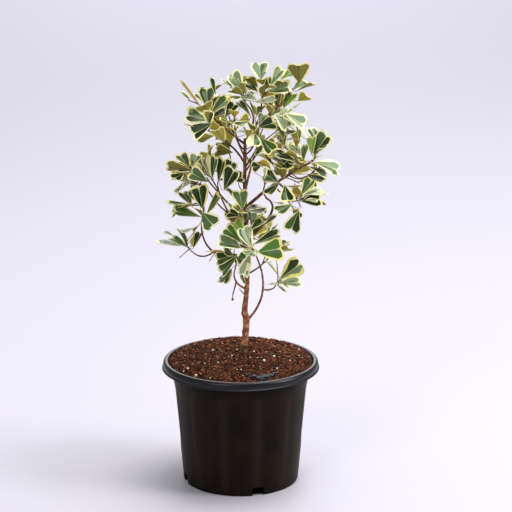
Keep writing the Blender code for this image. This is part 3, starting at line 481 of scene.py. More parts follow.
def tubePattern(sides, stations):
    # A capped tube whose points stand on whole heights, kept for the next tube of its kind.
    def build(made):
        bmesh.ops.create_circle(made, cap_ends=True, segments=sides, radius=1.0)
        edges = list(made.edges)
        for step in range(stations - 1):
            grown = bmesh.ops.extrude_edge_only(made, edges=edges)["geom"]
            ring = [item for item in grown if isinstance(item, bmesh.types.BMVert)]
            bmesh.ops.translate(made, vec=(0, 0, 1), verts=ring)
            edges = [item for item in grown if isinstance(item, bmesh.types.BMEdge)]
            edges = [edge for edge in edges if all(vert in ring for vert in edge.verts)]
        bmesh.ops.contextual_create(made, geom=edges)

    if (sides, stations) not in tubePatterns:
        tubePatterns[sides, stations] = patternMesh(f"tube{sides}x{stations}", build)
    return tubePatterns[sides, stations]


def drawTube(bm, path, radii, sides, materialIndex=0, relief=None):
    # Lays a capped tube along the path. relief(index, angle) adds to its radius.
    verts, _ = layPattern(bm, tubePattern(sides, len(path)), materialIndex)
    frames = ringFrames(path)
    for vert in verts:
        index = round(vert.co.z)
        point, side, other = frames[index]
        radius = radii[index]
        if relief:
            radius += relief(index, math.atan2(vert.co.y, vert.co.x))
        vert.co = (point + (side * vert.co.x + other * vert.co.y) * radius) * mm


def ringFrames(path, flatFoot=False):
    # One turned square of axes for each station, carried along without twisting.
    frames = []
    side = None
    for index, point in enumerate(path):
        before = path[max(index - 1, 0)]
        after = path[min(index + 1, len(path) - 1)]
        along = (after - before).normalized()
        if flatFoot and index == 0:
            along = Vector((0, 0, 1))
        if side is None:
            side = along.orthogonal().normalized()
        side = (side - along * side.dot(along)).normalized()
        frames.append((point, side, along.cross(side)))
    return frames


def catmull(points, steps):
    ends = [points[0] * 2 - points[1], *points, points[-1] * 2 - points[-2]]
    curve = []
    for index in range(len(points) - 1):
        a, b, c, d = ends[index:index + 4]
        for step in range(steps):
            t = step / steps
            curve.append(0.5 * (
                2 * b + (c - a) * t + (2 * a - 5 * b + 4 * c - d) * t ** 2
                + (3 * b - a - 3 * c + d) * t ** 3
            ))
    curve.append(points[-1].copy())
    return curve


def bezier(start, control, end, steps):
    shares = [step / steps for step in range(steps + 1)]
    return [start * (1 - t) ** 2 + control * (2 * t * (1 - t)) + end * t ** 2 for t in shares]


def bend(foot, middle, tip, steps):
    # A curve that passes the middle half way.
    return bezier(foot, middle * 2 - (foot + tip) / 2, tip, steps)


def around(axis, angle):
    side = axis.orthogonal().normalized()
    return side * math.cos(angle) + axis.cross(side) * math.sin(angle)


def rising(share):
    return Vector((0, 0, share))


def pointAlong(path, share):
    lengths = [(b - a).length for a, b in zip(path, path[1:])]
    left = share * sum(lengths)
    for (a, b), length in zip(zip(path, path[1:]), lengths):
        if left <= length:
            return a.lerp(b, left / length), (b - a).normalized()
        left -= length
    return path[-1].copy(), (path[-1] - path[-2]).normalized()


def taper(first, last, steps):
    return [first + (last - first) * step / steps for step in range(steps + 1)]


# Room for the leaves. These rough bodies only test whether two things would touch.

def tubeRings(path, radii, sides, flatFoot=False):
    rings = []
    for (point, side, other), radius in zip(ringFrames(path, flatFoot), radii):
        angles = [math.tau * index / sides for index in range(sides)]
        rings.append([point + (side * math.cos(a) + other * math.sin(a)) * radius for a in angles])
    return rings


def roughBody(rings, folded=False):
    sides = len(rings[0])
    points = [point for ring in rings for point in ring]
    faces = []
    for ring in range(len(rings) - 1):
        for index in range(sides):
            a = ring * sides + index
            b = ring * sides + (index + 1) % sides
            faces.append((a, b, b + sides, a + sides))
    last = (len(rings) - 1) * sides
    faces.append(tuple(reversed(range(sides))))
    if folded:
        faces += [(last, last + 1, last + 3), (last + 1, last + 2, last + 3)]
    else:
        faces.append(tuple(range(last, last + sides)))
    return BVHTree.FromPolygons(points, faces)


def guardOf(path, radii, sides, extra, flatFoot=False):
    wider = [radius + extra / math.cos(math.pi / sides) for radius in radii]
    start = path[0] - (path[1] - path[0]).normalized() * extra
    end = path[-1] + (path[-1] - path[-2]).normalized() * extra
    return roughBody(tubeRings([start, *path[1:-1], end], wider, sides, flatFoot))


def touches(tree, others):
    return any(other.overlap(tree) for other in others)


# Trunk and boughs, as in the solids

trunk = {
    # height, place across, place in depth, radius
    "stations": (
        (131.8, 3.0, 5.0, 4.3), (135.5, 3.3, 5.0, 3.75), (144.0, 4.1, 5.0, 3.4), (154.0, 5.1, 5.0, 3.2),
        (166.0, 5.5, 5.0, 3.35), (177.0, 4.1, 4.8, 3.0), (192.0, 5.6, 4.4, 2.45), (208.0, 6.5, 4.0, 2.45),
        (250.0, 5.6, 3.0, 2.3), (302.0, 4.4, 1.0, 1.9), (355.0, 4.7, 0.0, 1.45),
    ),
    "steps": 3, "sides": 8, "fineSteps": 15, "fineSides": 18,
    "foot": 131.0, "mossAndShadeTop": 139.5, "upperFoot": 236.0,
    # knots: height, way round in degrees, size and width
    "knots": ((173.5, 178, 0.8, 2.0), (153.5, 182, 0.8, 1.6), (166.5, -12, 0.6, 2.6), (224.0, 150, 0.5, 2.4),
              (160.0, -60, 0.6, 2.6), (262.0, 30, 0.6, 2.2), (316.0, 190, 0.5, 1.8), (141.0, -95, 0.8, 3.6)),
}

# parent limb, share of the way along it, a point passed half way, tip, root radius
boughs = {
    "bough_lower_right": ("trunk", 0.148, (22, -4, 198), (16, -22, 240), 1.4),
    "bough_lower_right_side": ("bough_lower_right", 0.50, (31, -8, 202), (36, -14, 210), 1.0),
    "bough_lower_left": ("trunk", 0.30, (-5, -7, 211), (-5, -14, 226), 1.2),
    "bough_stub": ("bough_lower_left", 0.50, (-7, -9, 200), (-8, -9, 192), 0.9),
    "bough_left": ("trunk", 0.43, (-9, -4, 236), (-27, -8, 241), 1.4),
    "bough_left_rising": ("bough_left", 1.0, (-38, -10, 260), (-36, -12, 286), 1.1),
    "bough_left_low": ("bough_left", 1.0, (-39, -10, 237), (-51, -14, 246), 0.9),
    "bough_mid_left": ("trunk", 0.63, (-14, -4, 292), (-31, -10, 314), 1.2),
    "bough_mid_left_twig": ("bough_mid_left", 0.68, (-22, -12, 309), (-22, -16, 315), 0.8),
    "bough_mid_left_back": ("trunk", 0.595, (-16, 10, 279), (-32, 18, 297), 1.1),
    "bough_upper_left_low": ("trunk", 0.885, (-9, -8, 349), (-27, -16, 363), 1.2),
    "bough_upper_left": ("trunk", 0.975, (-15, 5, 364), (-31, 10, 378), 1.3),
    "bough_top_left": ("trunk", 0.985, (13, 4, 372), (6, 8, 388), 1.2),
    "bough_top_middle": ("trunk", 0.97, (17, -3, 372), (21, -4, 391), 1.3),
    "bough_top_right": ("bough_top_middle", 0.55, (31, -6, 383), (40, -10, 392), 1.0),
    "bough_inner_right": ("trunk", 0.865, (17, -11, 347), (29, -22, 362), 1.0),
    "bough_right": ("trunk", 0.68, (36, -3, 311), (70, -8, 333), 1.8),
    "bough_right_up": ("bough_right", 0.74, (57, 0, 328), (56, 2, 332), 0.8),
    "bough_right_out": ("bough_right", 0.68, (57, -9, 316), (65, -16, 320), 0.8),
    "bough_right_down": ("bough_right", 0.52, (47, 3, 300), (57, 8, 292), 0.9),
    "bough_right_hanging": ("bough_right", 0.44, (38, -12, 305), (44, -18, 300), 0.9),
    "bough_middle_right": ("trunk", 0.53, (30, -8, 280), (26, -12, 297), 1.5),
    "bough_back_left": ("trunk", 0.50, (-10, 26, 268), (-22, 42, 290), 1.3),
    "bough_back_right": ("trunk", 0.75, (10, 24, 318), (19, 40, 347), 1.3),
    "bough_right_back": ("bough_right", 0.36, (36, 20, 305), (42, 38, 304), 1.0),
}
boughLook = {
    "sides": 5, "steps": 5, "tipShare": 0.62, "fineSides": 9, "stationGap": 1.3, "slimness": 0.96,
    "reddish": ("bough_lower_right", "bough_lower_right_side", "bough_lower_left", "bough_stub"),
}
gap = 0.3
leafMargin = 0.45


class Limb:
    def __init__(self, path, radii, sides, flatFoot=False):
        self.path = path
        self.radii = radii
        self.guard = guardOf(path, radii, sides, leafMargin, flatFoot)


def radiusAt(radii, share):
    place = share * (len(radii) - 1)
    index = min(int(place), len(radii) - 2)
    return radii[index] + (radii[index + 1] - radii[index]) * (place - index)


def trunkCourse(steps):
    # The trunk's middle line and radii, with this many steps from each station to the next.
    stations = trunk["stations"]
    radii = []
    for (_, _, _, a), (_, _, _, b) in zip(stations, stations[1:]):
        radii += [a + (b - a) * step / steps for step in range(steps)]
    return catmull([Vector((x, y, z)) for z, x, y, _ in stations], steps), radii + [stations[-1][3]]


def planLimbs():
    path, radii = trunkCourse(trunk["steps"])
    planned = {"trunk": Limb(path, radii, trunk["sides"], flatFoot=True)}
    for name, (parent, share, middle, tip, radius) in boughs.items():
        foot, _ = pointAlong(planned[parent].path, share)
        path = bend(foot, Vector(middle), Vector(tip), boughLook["steps"])
        radii = taper(radius, radius * boughLook["tipShare"], boughLook["steps"])
        planned[name] = Limb(path, radii, boughLook["sides"])
    return planned


def barkRelief(path, radii, depth, knots=(), seed=0.0):
    # Fissures along the limb, scars round it and knots. It gives the relief for drawTube.
    frames = ringFrames(path)
    travelled = [0.0]
    for a, b in zip(path, path[1:]):
        travelled.append(travelled[-1] + (b - a).length)

    def relief(index, angle):
        point, side, other = frames[index]
        out = side * math.cos(angle) + other * math.sin(angle)
        place = Vector((math.cos(angle) * 1.6, math.sin(angle) * 1.6, travelled[index] * 0.11 + seed))
        rise = noise.fractal(place * 1.7, 0.8, 2.2, 4) * depth
        scar = noise.noise(Vector((0.3, seed, travelled[index] * 0.55)))
        rise += max(0.0, scar - 0.25) * depth * 1.6
        for height, turn, size, width in knots:
            centre = Vector((math.cos(math.radians(turn)), math.sin(math.radians(turn)), 0))
            away = (1 - out.dot(centre)) * radii[index] * 1.6
            rise += size * math.exp(-((point.z - height) / width) ** 2 - (away / width) ** 2)
        return rise

    return relief


def barkFinish(name, colour, other, roughness, scale, level, **more):
    return mottledFinish(name, colour, other, roughness, scale, level, 0.09, **{"specular": 0.3, **more})


def drift(path, size):
    # Small sideways swings, so that no limb is a perfect arc.
    last = len(path) - 1
    return [
        point + noise.noise_vector(point * 0.07) * size * math.sin(math.pi * step / last)
        for step, point in enumerate(path)
    ]


def buildTrunkBark():
    path, radii = trunkCourse(trunk["fineSteps"])
    bm = bmesh.new()
    drawTube(bm, path, radii, trunk["fineSides"], 0, barkRelief(path, radii, 0.30, trunk["knots"]))
    for vert in bm.verts:
        vert.co.z = max(vert.co.z, trunk["foot"] * mm)
    # Below a ragged line the foot takes the dark olive bark: moss, and partly painted shade where the trunk
    # meets the soil.
    for face in bm.faces:
        centre = face.calc_center_median() / mm
        ragged = noise.noise(Vector((centre.x, centre.y, 0.0)) * 0.9) * 3.0
        if centre.z + ragged < trunk["mossAndShadeTop"]:
            face.material_index = 1
        elif centre.z + ragged > trunk["upperFoot"]:
            face.material_index = 2
    along = {"reliefScale": 520.0, "stretch": (1.0, 1.0, 0.5)}
    finishes = [
        barkFinish("figBark", (0.245, 0.082, 0.032), (0.62, 0.305, 0.170), 0.75, 230.0, 0.55,
                   bump=0.9, depth=0.6, **along),
        barkFinish("mossyBark", (0.060, 0.050, 0.016), (0.240, 0.130, 0.062), 0.85, 260.0, 0.52,
                   bump=0.9, depth=0.6, specular=0.2, reliefScale=520.0),
        barkFinish("upperBark", (0.120, 0.046, 0.022), (0.40, 0.205, 0.115), 0.75, 260.0, 0.54,
                   bump=0.8, depth=0.5, **along),
    ]
    addPiece("trunkBark", bm, finishes, ["trunk"], 70)


def buildBoughBark():
    bm = bmesh.new()
    for index, name in enumerate(boughs):
        limb = limbs[name]
        length = sum((b - a).length for a, b in zip(limb.path, limb.path[1:]))
        steps = max(8, round(length / boughLook["stationGap"]))
        fine = drift(bend(limb.path[0], Vector(boughs[name][2]), limb.path[-1], steps), 0.5)
        radii = [radiusAt(limb.radii, step / steps) * boughLook["slimness"] for step in range(steps + 1)]
        relief = barkRelief(fine, radii, 0.16, (), index * 3.7)
        drawTube(bm, fine, radii, boughLook["fineSides"], int(name in boughLook["reddish"]), relief)
    finishes = [
        barkFinish("boughBark", (0.100, 0.036, 0.016), (0.30, 0.135, 0.068), 0.75, 300.0, 0.55,
                   bump=0.6, depth=0.3, reliefScale=600.0),
        barkFinish("youngBark", (0.185, 0.062, 0.022), (0.50, 0.225, 0.115), 0.7, 300.0, 0.54,
                   bump=0.6, depth=0.3, reliefScale=600.0),
    ]
    addPiece("boughBark", bm, finishes, list(boughs), 70)


limbs = planLimbs()
buildSoil()
soilRng = random.Random(soil["seed"])
for buildBits in (buildChips, buildFibres, buildGrains):
    buildBits(soilRng)
buildTrunkBark()
buildBoughBark()
print("pot, soil and bark ready")


# Leaf masses: limb they grow from, share along it, middle of the mass, its reach, leaves that
# fill it, leaf length, lean of those leaves (up is positive) and seed
masses = {
    "leaves_rosette": ("bough_lower_right", 1.0, (13, -31, 250), 38, 3, 29, -0.10, 20),
    "leaves_lower_right": ("bough_lower_right_side", 1.0, (39, -18, 214), 28, 2, 28, 0.10, 4),
    "leaves_low_stub": ("trunk", 0.37, (38, 8, 241), 24, 3, 24, 0.10, 87),
    "leaves_lower_left": ("bough_lower_left", 1.0, (-5, -18, 239), 30, 3, 28, -0.20, 32),
    "leaves_left_rising": ("bough_left_rising", 1.0, (-43, -13, 292), 33, 3, 27, 0.00, 32),
    "leaves_left_low": ("bough_left_low", 1.0, (-53, -15, 254), 30, 2, 25, 0.10, 98),
    "leaves_mid_left": ("bough_mid_left", 1.0, (-43, -10, 325), 34, 2, 25, 0.10, 59),
    "leaves_mid_left_inner": ("bough_mid_left_twig", 1.0, (-18, -18, 318), 26, 2, 27, 0.20, 89),
    "leaves_mid_left_back": ("bough_mid_left_back", 1.0, (-44, 26, 304), 32, 7, 25, 0.05, 2),
    "leaves_vee": ("trunk", 0.79, (-11, 8, 342), 24, 2, 22, 0.10, 53),
    "leaves_upper_left_low": ("bough_upper_left_low", 1.0, (-31, -17, 370), 28, 3, 26, 0.00, 47),
    "leaves_upper_left": ("bough_upper_left", 1.0, (-35, 9, 389), 33, 3, 25, 0.20, 8),
    "leaves_upper_inner": ("trunk", 0.945, (-6, -15, 380), 26, 3, 25, 0.15, 32),
    "leaves_top_left": ("bough_top_left", 1.0, (4, 9, 403), 30, 3, 24, 0.20, 33),
    "leaves_top_middle": ("bough_top_middle", 1.0, (25, -5, 408), 30, 4, 24, 0.20, 22),
    "leaves_top_right": ("bough_top_right", 1.0, (50, -13, 406), 33, 1, 25, 0.20, 44),
    "leaves_upper_middle": ("trunk", 0.925, (18, -15, 368), 26, 2, 25, 0.10, 32),
    "leaves_inner_right": ("bough_inner_right", 1.0, (44, -24, 374), 30, 2, 25, 0.05, 69),
    "leaves_right": ("bough_right", 1.0, (74, -9, 345), 31, 3, 25, 0.20, 5),
    "leaves_right_up": ("bough_right_up", 1.0, (56, 0, 343), 28, 3, 24, 0.10, 74),
    "leaves_right_out": ("bough_right_out", 1.0, (76, -18, 328), 28, 3, 25, 0.00, 40),
    "leaves_right_down": ("bough_right_down", 1.0, (66, 9, 295), 29, 4, 25, -0.10, 60),
    "leaves_right_hanging": ("bough_right_hanging", 1.0, (51, -20, 291), 30, 2, 27, -0.60, 10),
    "leaves_middle_right": ("bough_middle_right", 1.0, (31, -14, 322), 27, 2, 24, 0.20, 89),
    "leaves_behind": ("trunk", 0.845, (20, 32, 338), 30, 6, 25, 0.10, 57),
    "leaves_middle_front": ("trunk", 0.66, (-1, -19, 288), 27, 3, 26, 0.10, 52),
    "leaves_middle_low": ("trunk", 0.56, (13, -21, 276), 25, 2, 25, 0.00, 10),
    "leaves_low_back": ("trunk", 0.45, (7, 40, 262), 33, 8, 26, 0.10, 31),
    "leaves_back_left": ("bough_back_left", 1.0, (-36, 54, 311), 34, 8, 26, 0.10, 71),
    "leaves_back_right": ("bough_back_right", 1.0, (34, 54, 374), 36, 8, 26, 0.15, 94),
    "leaves_right_back": ("bough_right_back", 1.0, (52, 50, 308), 30, 7, 26, 0.00, 48),
    "leaves_back_top": ("trunk", 0.915, (-14, 44, 376), 34, 8, 25, 0.15, 2),
}

# The leaves that show from the front: foot of the blade and its end, across and up as seen from
# the eye on the plane through the pot's axis, then depth, drawn width and tint. An olive leaf
# shows its underside.
seenLeaves = {
    "leaves_rosette": (
        (11, 243, 2, 263, -36, 15, "pale"), (14, 247, 40, 259, -28, 11, "green"),
        (17, 238, 43, 243, -38, 23, "middle"), (10, 237, 3, 215, -40, 13, "cream"),
        (1, 248, -15, 265, -28, 12, "middle"), (1, 243, -23, 250, -32, 14, "mist"),
        (3, 257, -6, 270, -24, 16, "spring"),
    ),
    "leaves_lower_right": (
        (40, 211, 61, 227, -20, 20, "wide"), (39, 206, 61, 207, -22, 11, "pale"),
        (38, 214, 26, 229, -16, 3, "pale"), (37, 204, 27, 206, -14, 3, "cream"),
        (38, 204, 43, 199, -24, 3, "cream"),
    ),
    "leaves_low_stub": (
        (41, 245, 47, 250, 6, 8, "dark"), (43, 239, 54, 241, 6, 3, "pale"),
        (27, 259, 27, 266, 4, 5, "pale"), (32, 260, 35, 266, 4, 4, "dark"),
    ),
    "leaves_lower_left": (
        (-3, 236, -26, 231, -18, 13, "green"), (-3, 234, -21, 216, -26, 12, "middle"),
        (-9, 221, -17, 208, -18, 11, "wide"), (0, 222, 2, 209, -16, 4, "dark"),
    ),
    "leaves_left_rising": (
        (-38, 284, -42, 308, -18, 18, "dark"), (-49, 287, -57, 300, -8, 11, "grey"),
        (-54, 289, -70, 289, -12, 4, "green"), (-40, 275, -68, 282, -16, 11, "middle"),
        (-39, 277, -46, 286, -10, 5, "olive"), (-33, 279, -20, 298, -20, 8, "middle"),
        (-38, 279, -27, 266, -22, 20, "middle"),
    ),
    "leaves_left_low": (
        (-57, 245, -84, 249, -18, 5, "grey"), (-54, 244, -69, 254, -20, 8, "middle"),
        (-54, 246, -60, 261, -14, 6, "green"), (-46, 264, -57, 259, -8, 4, "grey"),
        (-46, 260, -42, 268, -10, 4, "olive"), (-48, 245, -48, 258, -18, 5, "olive"),
        (-47, 243, -40, 258, -20, 8, "dark"),
    ),
    "leaves_mid_left": (
        (-33, 311, -50, 321, -18, 15, "grey"), (-50, 309, -58, 316, -8, 4, "dark"),
        (-56, 320, -66, 314, -8, 10, "dark"), (-51, 324, -74, 326, -12, 10, "olive"),
        (-51, 326, -60, 338, -14, 12, "green"), (-48, 327, -43, 338, -6, 12, "grey"),
        (-30, 317, -36, 336, -10, 10, "cream"), (-28, 314, -25, 338, -14, 8, "green"),
        (-58, 309, -63, 302, -4, 3, "olive"),
    ),
    "leaves_mid_left_inner": (
        (-22, 311, -16, 335, -20, 9, "dark"), (-16, 303, -5, 325, -26, 17, "dark"),
    ),
    "leaves_vee": (
        (-8, 341, -25, 343, 0, 12, "olive"),
    ),
    "leaves_upper_left_low": (
        (-28, 370, -48, 358, -20, 16, "dark"), (-26, 358, -45, 354, -16, 10, "olive"),
        (-16, 352, -25, 366, -14, 14, "olive"),
    ),
    "leaves_upper_left": (
        (-31, 373, -54, 379, 0, 16, "deepGrey"), (-38, 385, -60, 414, 6, 3, "olive"),
        (-32, 380, -37, 391, 0, 19, "olive"), (-32, 387, -33, 406, 12, 18, "mistDark"),
        (-24, 404, -17, 410, 16, 3, "olive"), (-28, 381, -12, 396, 6, 11, "grey"),
        (-27, 383, -22, 397, 10, 5, "dark"), (-28, 376, -13, 384, 2, 8, "dark"),
    ),
    "leaves_upper_inner": (
        (10, 378, -2, 392, -10, 7, "dark"), (-15, 376, -5, 390, -14, 12, "dark"),
        (1, 397, -9, 396, -6, 4, "dark"), (-13, 365, -7, 374, -14, 6, "green"),
        (9, 373, -3, 367, -16, 7, "green"), (6, 360, -3, 363, -14, 5, "pale"),
    ),
    "leaves_top_left": (
        (2, 402, -9, 421, 8, 15, "mist"), (3, 399, -10, 404, 4, 8, "olive"),
        (5, 400, -1, 414, 4, 5, "olive"), (17, 407, 6, 417, 8, 9, "olive"),
        (17, 402, 4, 412, 2, 11, "dark"), (17, 393, 4, 398, -2, 8, "pale"),
        (12, 396, 10, 404, 0, 4, "dark"),
    ),
    "leaves_top_middle": (
        (20, 414, 19, 430, -2, 18, "mist"), (24, 408, 22, 416, -4, 13, "olive"),
        (22, 398, 23, 411, -8, 7, "olive"), (30, 408, 41, 426, -4, 10, "pale"),
        (16, 391, 35, 395, -10, 7, "pale"),
    ),
    "leaves_top_right": (
        (27, 402, 50, 407, -14, 13, "grey"), (33, 408, 43, 412, -8, 4, "olive"),
        (40, 414, 53, 423, -12, 9, "middle"), (58, 411, 57, 431, -14, 22, "olive"),
        (56, 403, 73, 411, -12, 4, "olive"), (57, 393, 67, 399, -16, 12, "olive"),
        (43, 386, 52, 400, -16, 12, "fresh"), (37, 384, 38, 400, -6, 8, "green"),
        (39, 383, 49, 386, -18, 5, "pale"),
    ),
    "leaves_upper_middle": (
        (18, 366, 34, 371, -18, 14, "dark"), (20, 355, 32, 342, -20, 14, "green"),
        (14, 360, 13, 348, -22, 15, "halfCream"), (21, 350, 19, 340, -16, 7, "green"),
        (12, 361, 11, 371, -14, 9, "olive"), (14, 379, 12, 391, -8, 6, "olive"),
        (16, 378, 22, 388, -8, 8, "dark"), (31, 381, 28, 391, -12, 7, "olive"),
    ),
    "leaves_inner_right": (
        (44, 380, 64, 368, -28, 13, "pale"), (34, 380, 47, 365, -26, 12, "pale"),
        (44, 362, 51, 360, -20, 6, "dark"), (42, 354, 39, 366, -22, 7, "green"),
        (45, 352, 55, 356, -24, 5, "pale"), (58, 353, 57, 365, -20, 5, "green"),
        (66, 355, 59, 365, -16, 3, "cream"),
    ),
    "leaves_right": (
        (73, 338, 87, 360, -14, 16, "greyDark"), (76, 350, 70, 365, -4, 10, "grey"),
        (71, 338, 71, 357, -18, 9, "spring"), (72, 333, 79, 338, -12, 4, "grey"),
        (63, 333, 65, 348, -14, 8, "grey"),
    ),
    "leaves_right_up": (
        (55, 332, 34, 341, -14, 9, "dark"), (57, 336, 43, 341, -8, 6, "olive"),
        (53, 335, 47, 350, -2, 10, "cream"), (61, 337, 53, 349, -6, 8, "pale"),
    ),
    "leaves_right_out": (
        (74, 331, 99, 323, -20, 14, "mist"), (66, 327, 87, 318, -22, 6, "green"),
        (66, 318, 83, 312, -18, 8, "dark"),
    ),
    "leaves_right_down": (
        (61, 298, 71, 314, 8, 12, "greenMist"), (62, 297, 81, 303, 4, 8, "pale"),
        (61, 291, 81, 293, 2, 15, "dark"), (60, 297, 54, 296, 4, 4, "olive"),
    ),
    "leaves_right_hanging": (
        (44, 307, 47, 292, -24, 15, "darkGrey"), (38, 309, 27, 299, -16, 9, "green"),
        (51, 288, 37, 280, -22, 11, "grey"), (58, 281, 50, 260, -24, 18, "green"),
        (57, 281, 51, 283, -16, 4, "olive"), (43, 287, 36, 290, -14, 4, "dark"),
        (47, 307, 58, 306, -12, 3, "olive"),
    ),
    "leaves_middle_right": (
        (38, 310, 25, 319, -20, 15, "mistDark"), (20, 327, 11, 326, -14, 12, "dark"),
        (30, 325, 17, 333, -16, 8, "olive"), (11, 325, 8, 335, -8, 5, "dark"),
        (33, 327, 23, 339, -18, 4, "dark"), (44, 329, 29, 336, -16, 4, "grey"),
        (38, 325, 34, 331, -12, 6, "olive"), (42, 314, 39, 327, -14, 11, "olive"),
        (57, 325, 51, 329, -14, 4, "olive"), (36, 346, 37, 353, -12, 6, "olive"),
    ),
    "leaves_middle_front": (
        (2, 283, -1, 301, -22, 16, "middle"), (-1, 276, -12, 280, -20, 13, "dark"),
        (4, 270, 3, 281, -26, 6, "green"),
    ),
    "leaves_middle_low": (
        # these two leaves are painted shade: near black, where the crown shadows them
        (5, 282, 19, 287, -14, 6, "shade"), (7, 281, 25, 281, -18, 6, "shade"),
        (11, 264, 11, 280, -26, 10, "mist"), (10, 262, 23, 271, -30, 8, "green"),
    ),
}
# Places on the same plane that no filling leaf covers: sky at any depth, and limbs that show
openPlaces = {
    "sky": (
        (-30, 252), (-25, 258), (-22, 284), (-6, 302), (-10, 299), (-4, 336), (9, 341), (9, 350), (-6, 350),
        (12, 232), (10, 226), (35, 226), (38, 229), (30, 222), (38, 272), (40, 263), (23, 287), (66, 281),
        (72, 275), (55, 312), (60, 310), (50, 311), (51, 413), (-17, 403), (-14, 408), (40, 377), (27, 360),
        (24, 358), (56, 386), (62, 384), (30, 419), (2, 424), (74, 372), (63, 352), (-70, 270), (-62, 268),
        (-14, 257), (-60, 348), (-48, 348), (-36, 346), (-57, 394), (-61, 395), (-65, 395), (-67, 262),
        (-68, 266), (-69, 274), (78, 295), (82, 297), (86, 298), (-58, 406), (90, 300), (-68, 281),
    ),
    "limbs": (
        (4, 305), (4, 312), (4, 319), (4, 326), (4, 334), (4, 342), (6, 200), (6, 215), (5, 226), (12, 291),
        (17, 297), (21, 301), (27, 304), (33, 308), (45, 315), (50, 318), (55, 322), (60, 326), (68, 331),
        (-21, 288), (-26, 296), (-16, 292), (-22, 356), (-15, 351), (-8, 347), (-2, 342), (-12, 362),
        (-5, 357), (26, 290), (30, 283), (29, 276), (25, 270), (18, 258), (13, 252), (17, 252), (2, 241),
        (6, 244), (-4, 241),
    ),
}

twigLook = {
    "stemSides": 4, "stemSteps": 3, "stemRoot": 0.9, "stemTip": 0.55, "twigSides": 3, "twigSteps": 2,
    "twigRoot": 0.6, "twigTip": 0.45, "lengthShare": 0.55, "tries": 8, "leavesPerTwig": 4,
}
leafLook = {
    "tries": 14, "turn": math.radians(137.5), "topShare": 0.96, "shareStep": 0.13, "sizeSpread": 0.16,
    "notch": 0.09, "widthShare": 0.82, "rootSize": 0.22, "stalkShare": 0.18, "bendLimit": 0.3, "knee": 2.0,
    "shifts": (0, 2, -2, 4, -4, 6, -6, 9, -9, 12, -12),
    "openAngle": 36, "openRootward": 34, "openSpread": 9, "faceSpread": 0.55,
    "folds": (0.15, 0.5), "curls": (-0.02, 0.12),
    # share of the length, share of the half width, half thickness of the rough body
    "stations": ((0.00, 0.05, 0.45), (0.76, 1.00, 0.38), (1.00, 0.58, 0.26)),
}
# the fine twigs and small leaves that only the scene has
finerLook = {
    "shares": (0.5, 0.68, 0.86, 1.0), "lengths": (5.0, 9.0), "root": 0.42, "tip": 0.28,
    "leaves": 3, "leafStep": 0.24, "sizes": (0.42, 0.72), "tries": 4,
}


class Leaf:
    # A stalk from the root on a shoot to the foot of the blade, and the blade along its rib.
    # face is the way that the upper side looks.
    def __init__(self, root, foot, along, face, length, halfWidth, fold, curl, tint=None):
        self.root = root
        self.foot = foot
        self.along = along
        self.face = face
        self.length = length
        self.halfWidth = halfWidth
        self.fold = fold
        self.curl = curl
        self.tint = tint
        self.openness = 1.0

    def tip(self):
        return self.foot + self.along * self.length

    def rings(self, margin=0.0):
        side = self.along.cross(self.face).normalized()
        path = [self.root, self.foot]
        if (self.foot - self.root).normalized().dot(self.along) < leafLook["bendLimit"]:
            path.insert(1, self.foot - self.along * leafLook["knee"])
        rings = []
        for index, point in enumerate(path[:-1]):
            heading = (path[index + 1] - point).normalized()
            if index:
                heading = (heading + (point - path[index - 1]).normalized()).normalized()
            else:
                point = point - heading * margin
            across, up = self.frame(side, heading)
            across *= leafLook["rootSize"] + margin
            up *= leafLook["rootSize"] + margin
            rings.append([point - across, point + up, point + across, point - up])
        length = self.length + margin
        for share, width, thickness in leafLook["stations"]:
            width = width * self.halfWidth
            notch = leafLook["notch"] if share == 1.0 else 0.0
            drop = self.face * (self.curl * share ** 2 * length)
            rib = self.foot + self.along * ((share - notch) * length) - drop
            edge = self.foot + self.along * (share * length) - drop + self.face * (width * self.fold)
            wide = side * (width + margin)
            thick = self.face * (thickness + margin)
            rings.append([edge - wide, rib + thick, edge + wide, rib - thick])
        return rings

    def frame(self, side, heading):
        flat = side - heading * side.dot(heading)
        tall = self.face - heading * self.face.dot(heading)
        if flat.length > tall.length:
            across = flat.normalized()
            return across, across.cross(heading)
        up = tall.normalized()
        return heading.cross(up), up

    def blade(self, margin=0.0):
        return roughBody(self.rings(margin)[-len(leafLook["stations"]):], folded=True)

    def body(self, margin=0.0):
        return roughBody(self.rings(margin), folded=True)

    def spots(self):
        # Places on the blade that the eye should find.
        side = self.along.cross(self.face).normalized() * self.halfWidth
        places = ((0.3, 0.0), (0.55, 0.3), (0.55, -0.3), (0.8, 0.55), (0.8, -0.55), (0.93, 0.0))
        return [self.foot + self.along * (share * self.length) + side * across for share, across in places]


def sightTo(point):
    # How the eye finds a point: its place on the plane through the axis, the way to it and how far.
    span = point - eye
    return *onPlane(point), span.normalized(), span.length


def sightAt(across, up, depth):
    # The same for a place on that plane that has to stay open this far behind it.
    span = Vector((across, 0.0, up)) - eye
    return across, up, span.normalized(), span.length + depth


def hides(leaf, shown):
    # Whether the leaf stands between the eye and one of the places that should show.
    blade = leaf.blade()
    x, z, _, _ = sightTo((leaf.foot + leaf.tip()) / 2)
    for across, up, way, distance in shown:
        if abs(across - x) < leaf.length and abs(up - z) < leaf.length:
            if blade.ray_cast(eye, way, distance - 0.5)[0] is not None:
                return True
    return False


def seenPoint(across, up, depth):
    plane = Vector((across, 0.0, up))
    return eye + (plane - eye) * ((depth - eye.y) / -eye.y)


def onPlane(point):
    # Where the eye sees a point, on the plane through the pot's axis.
    seen = eye + (point - eye) * (-eye.y / (point.y - eye.y))
    return seen.x, seen.z


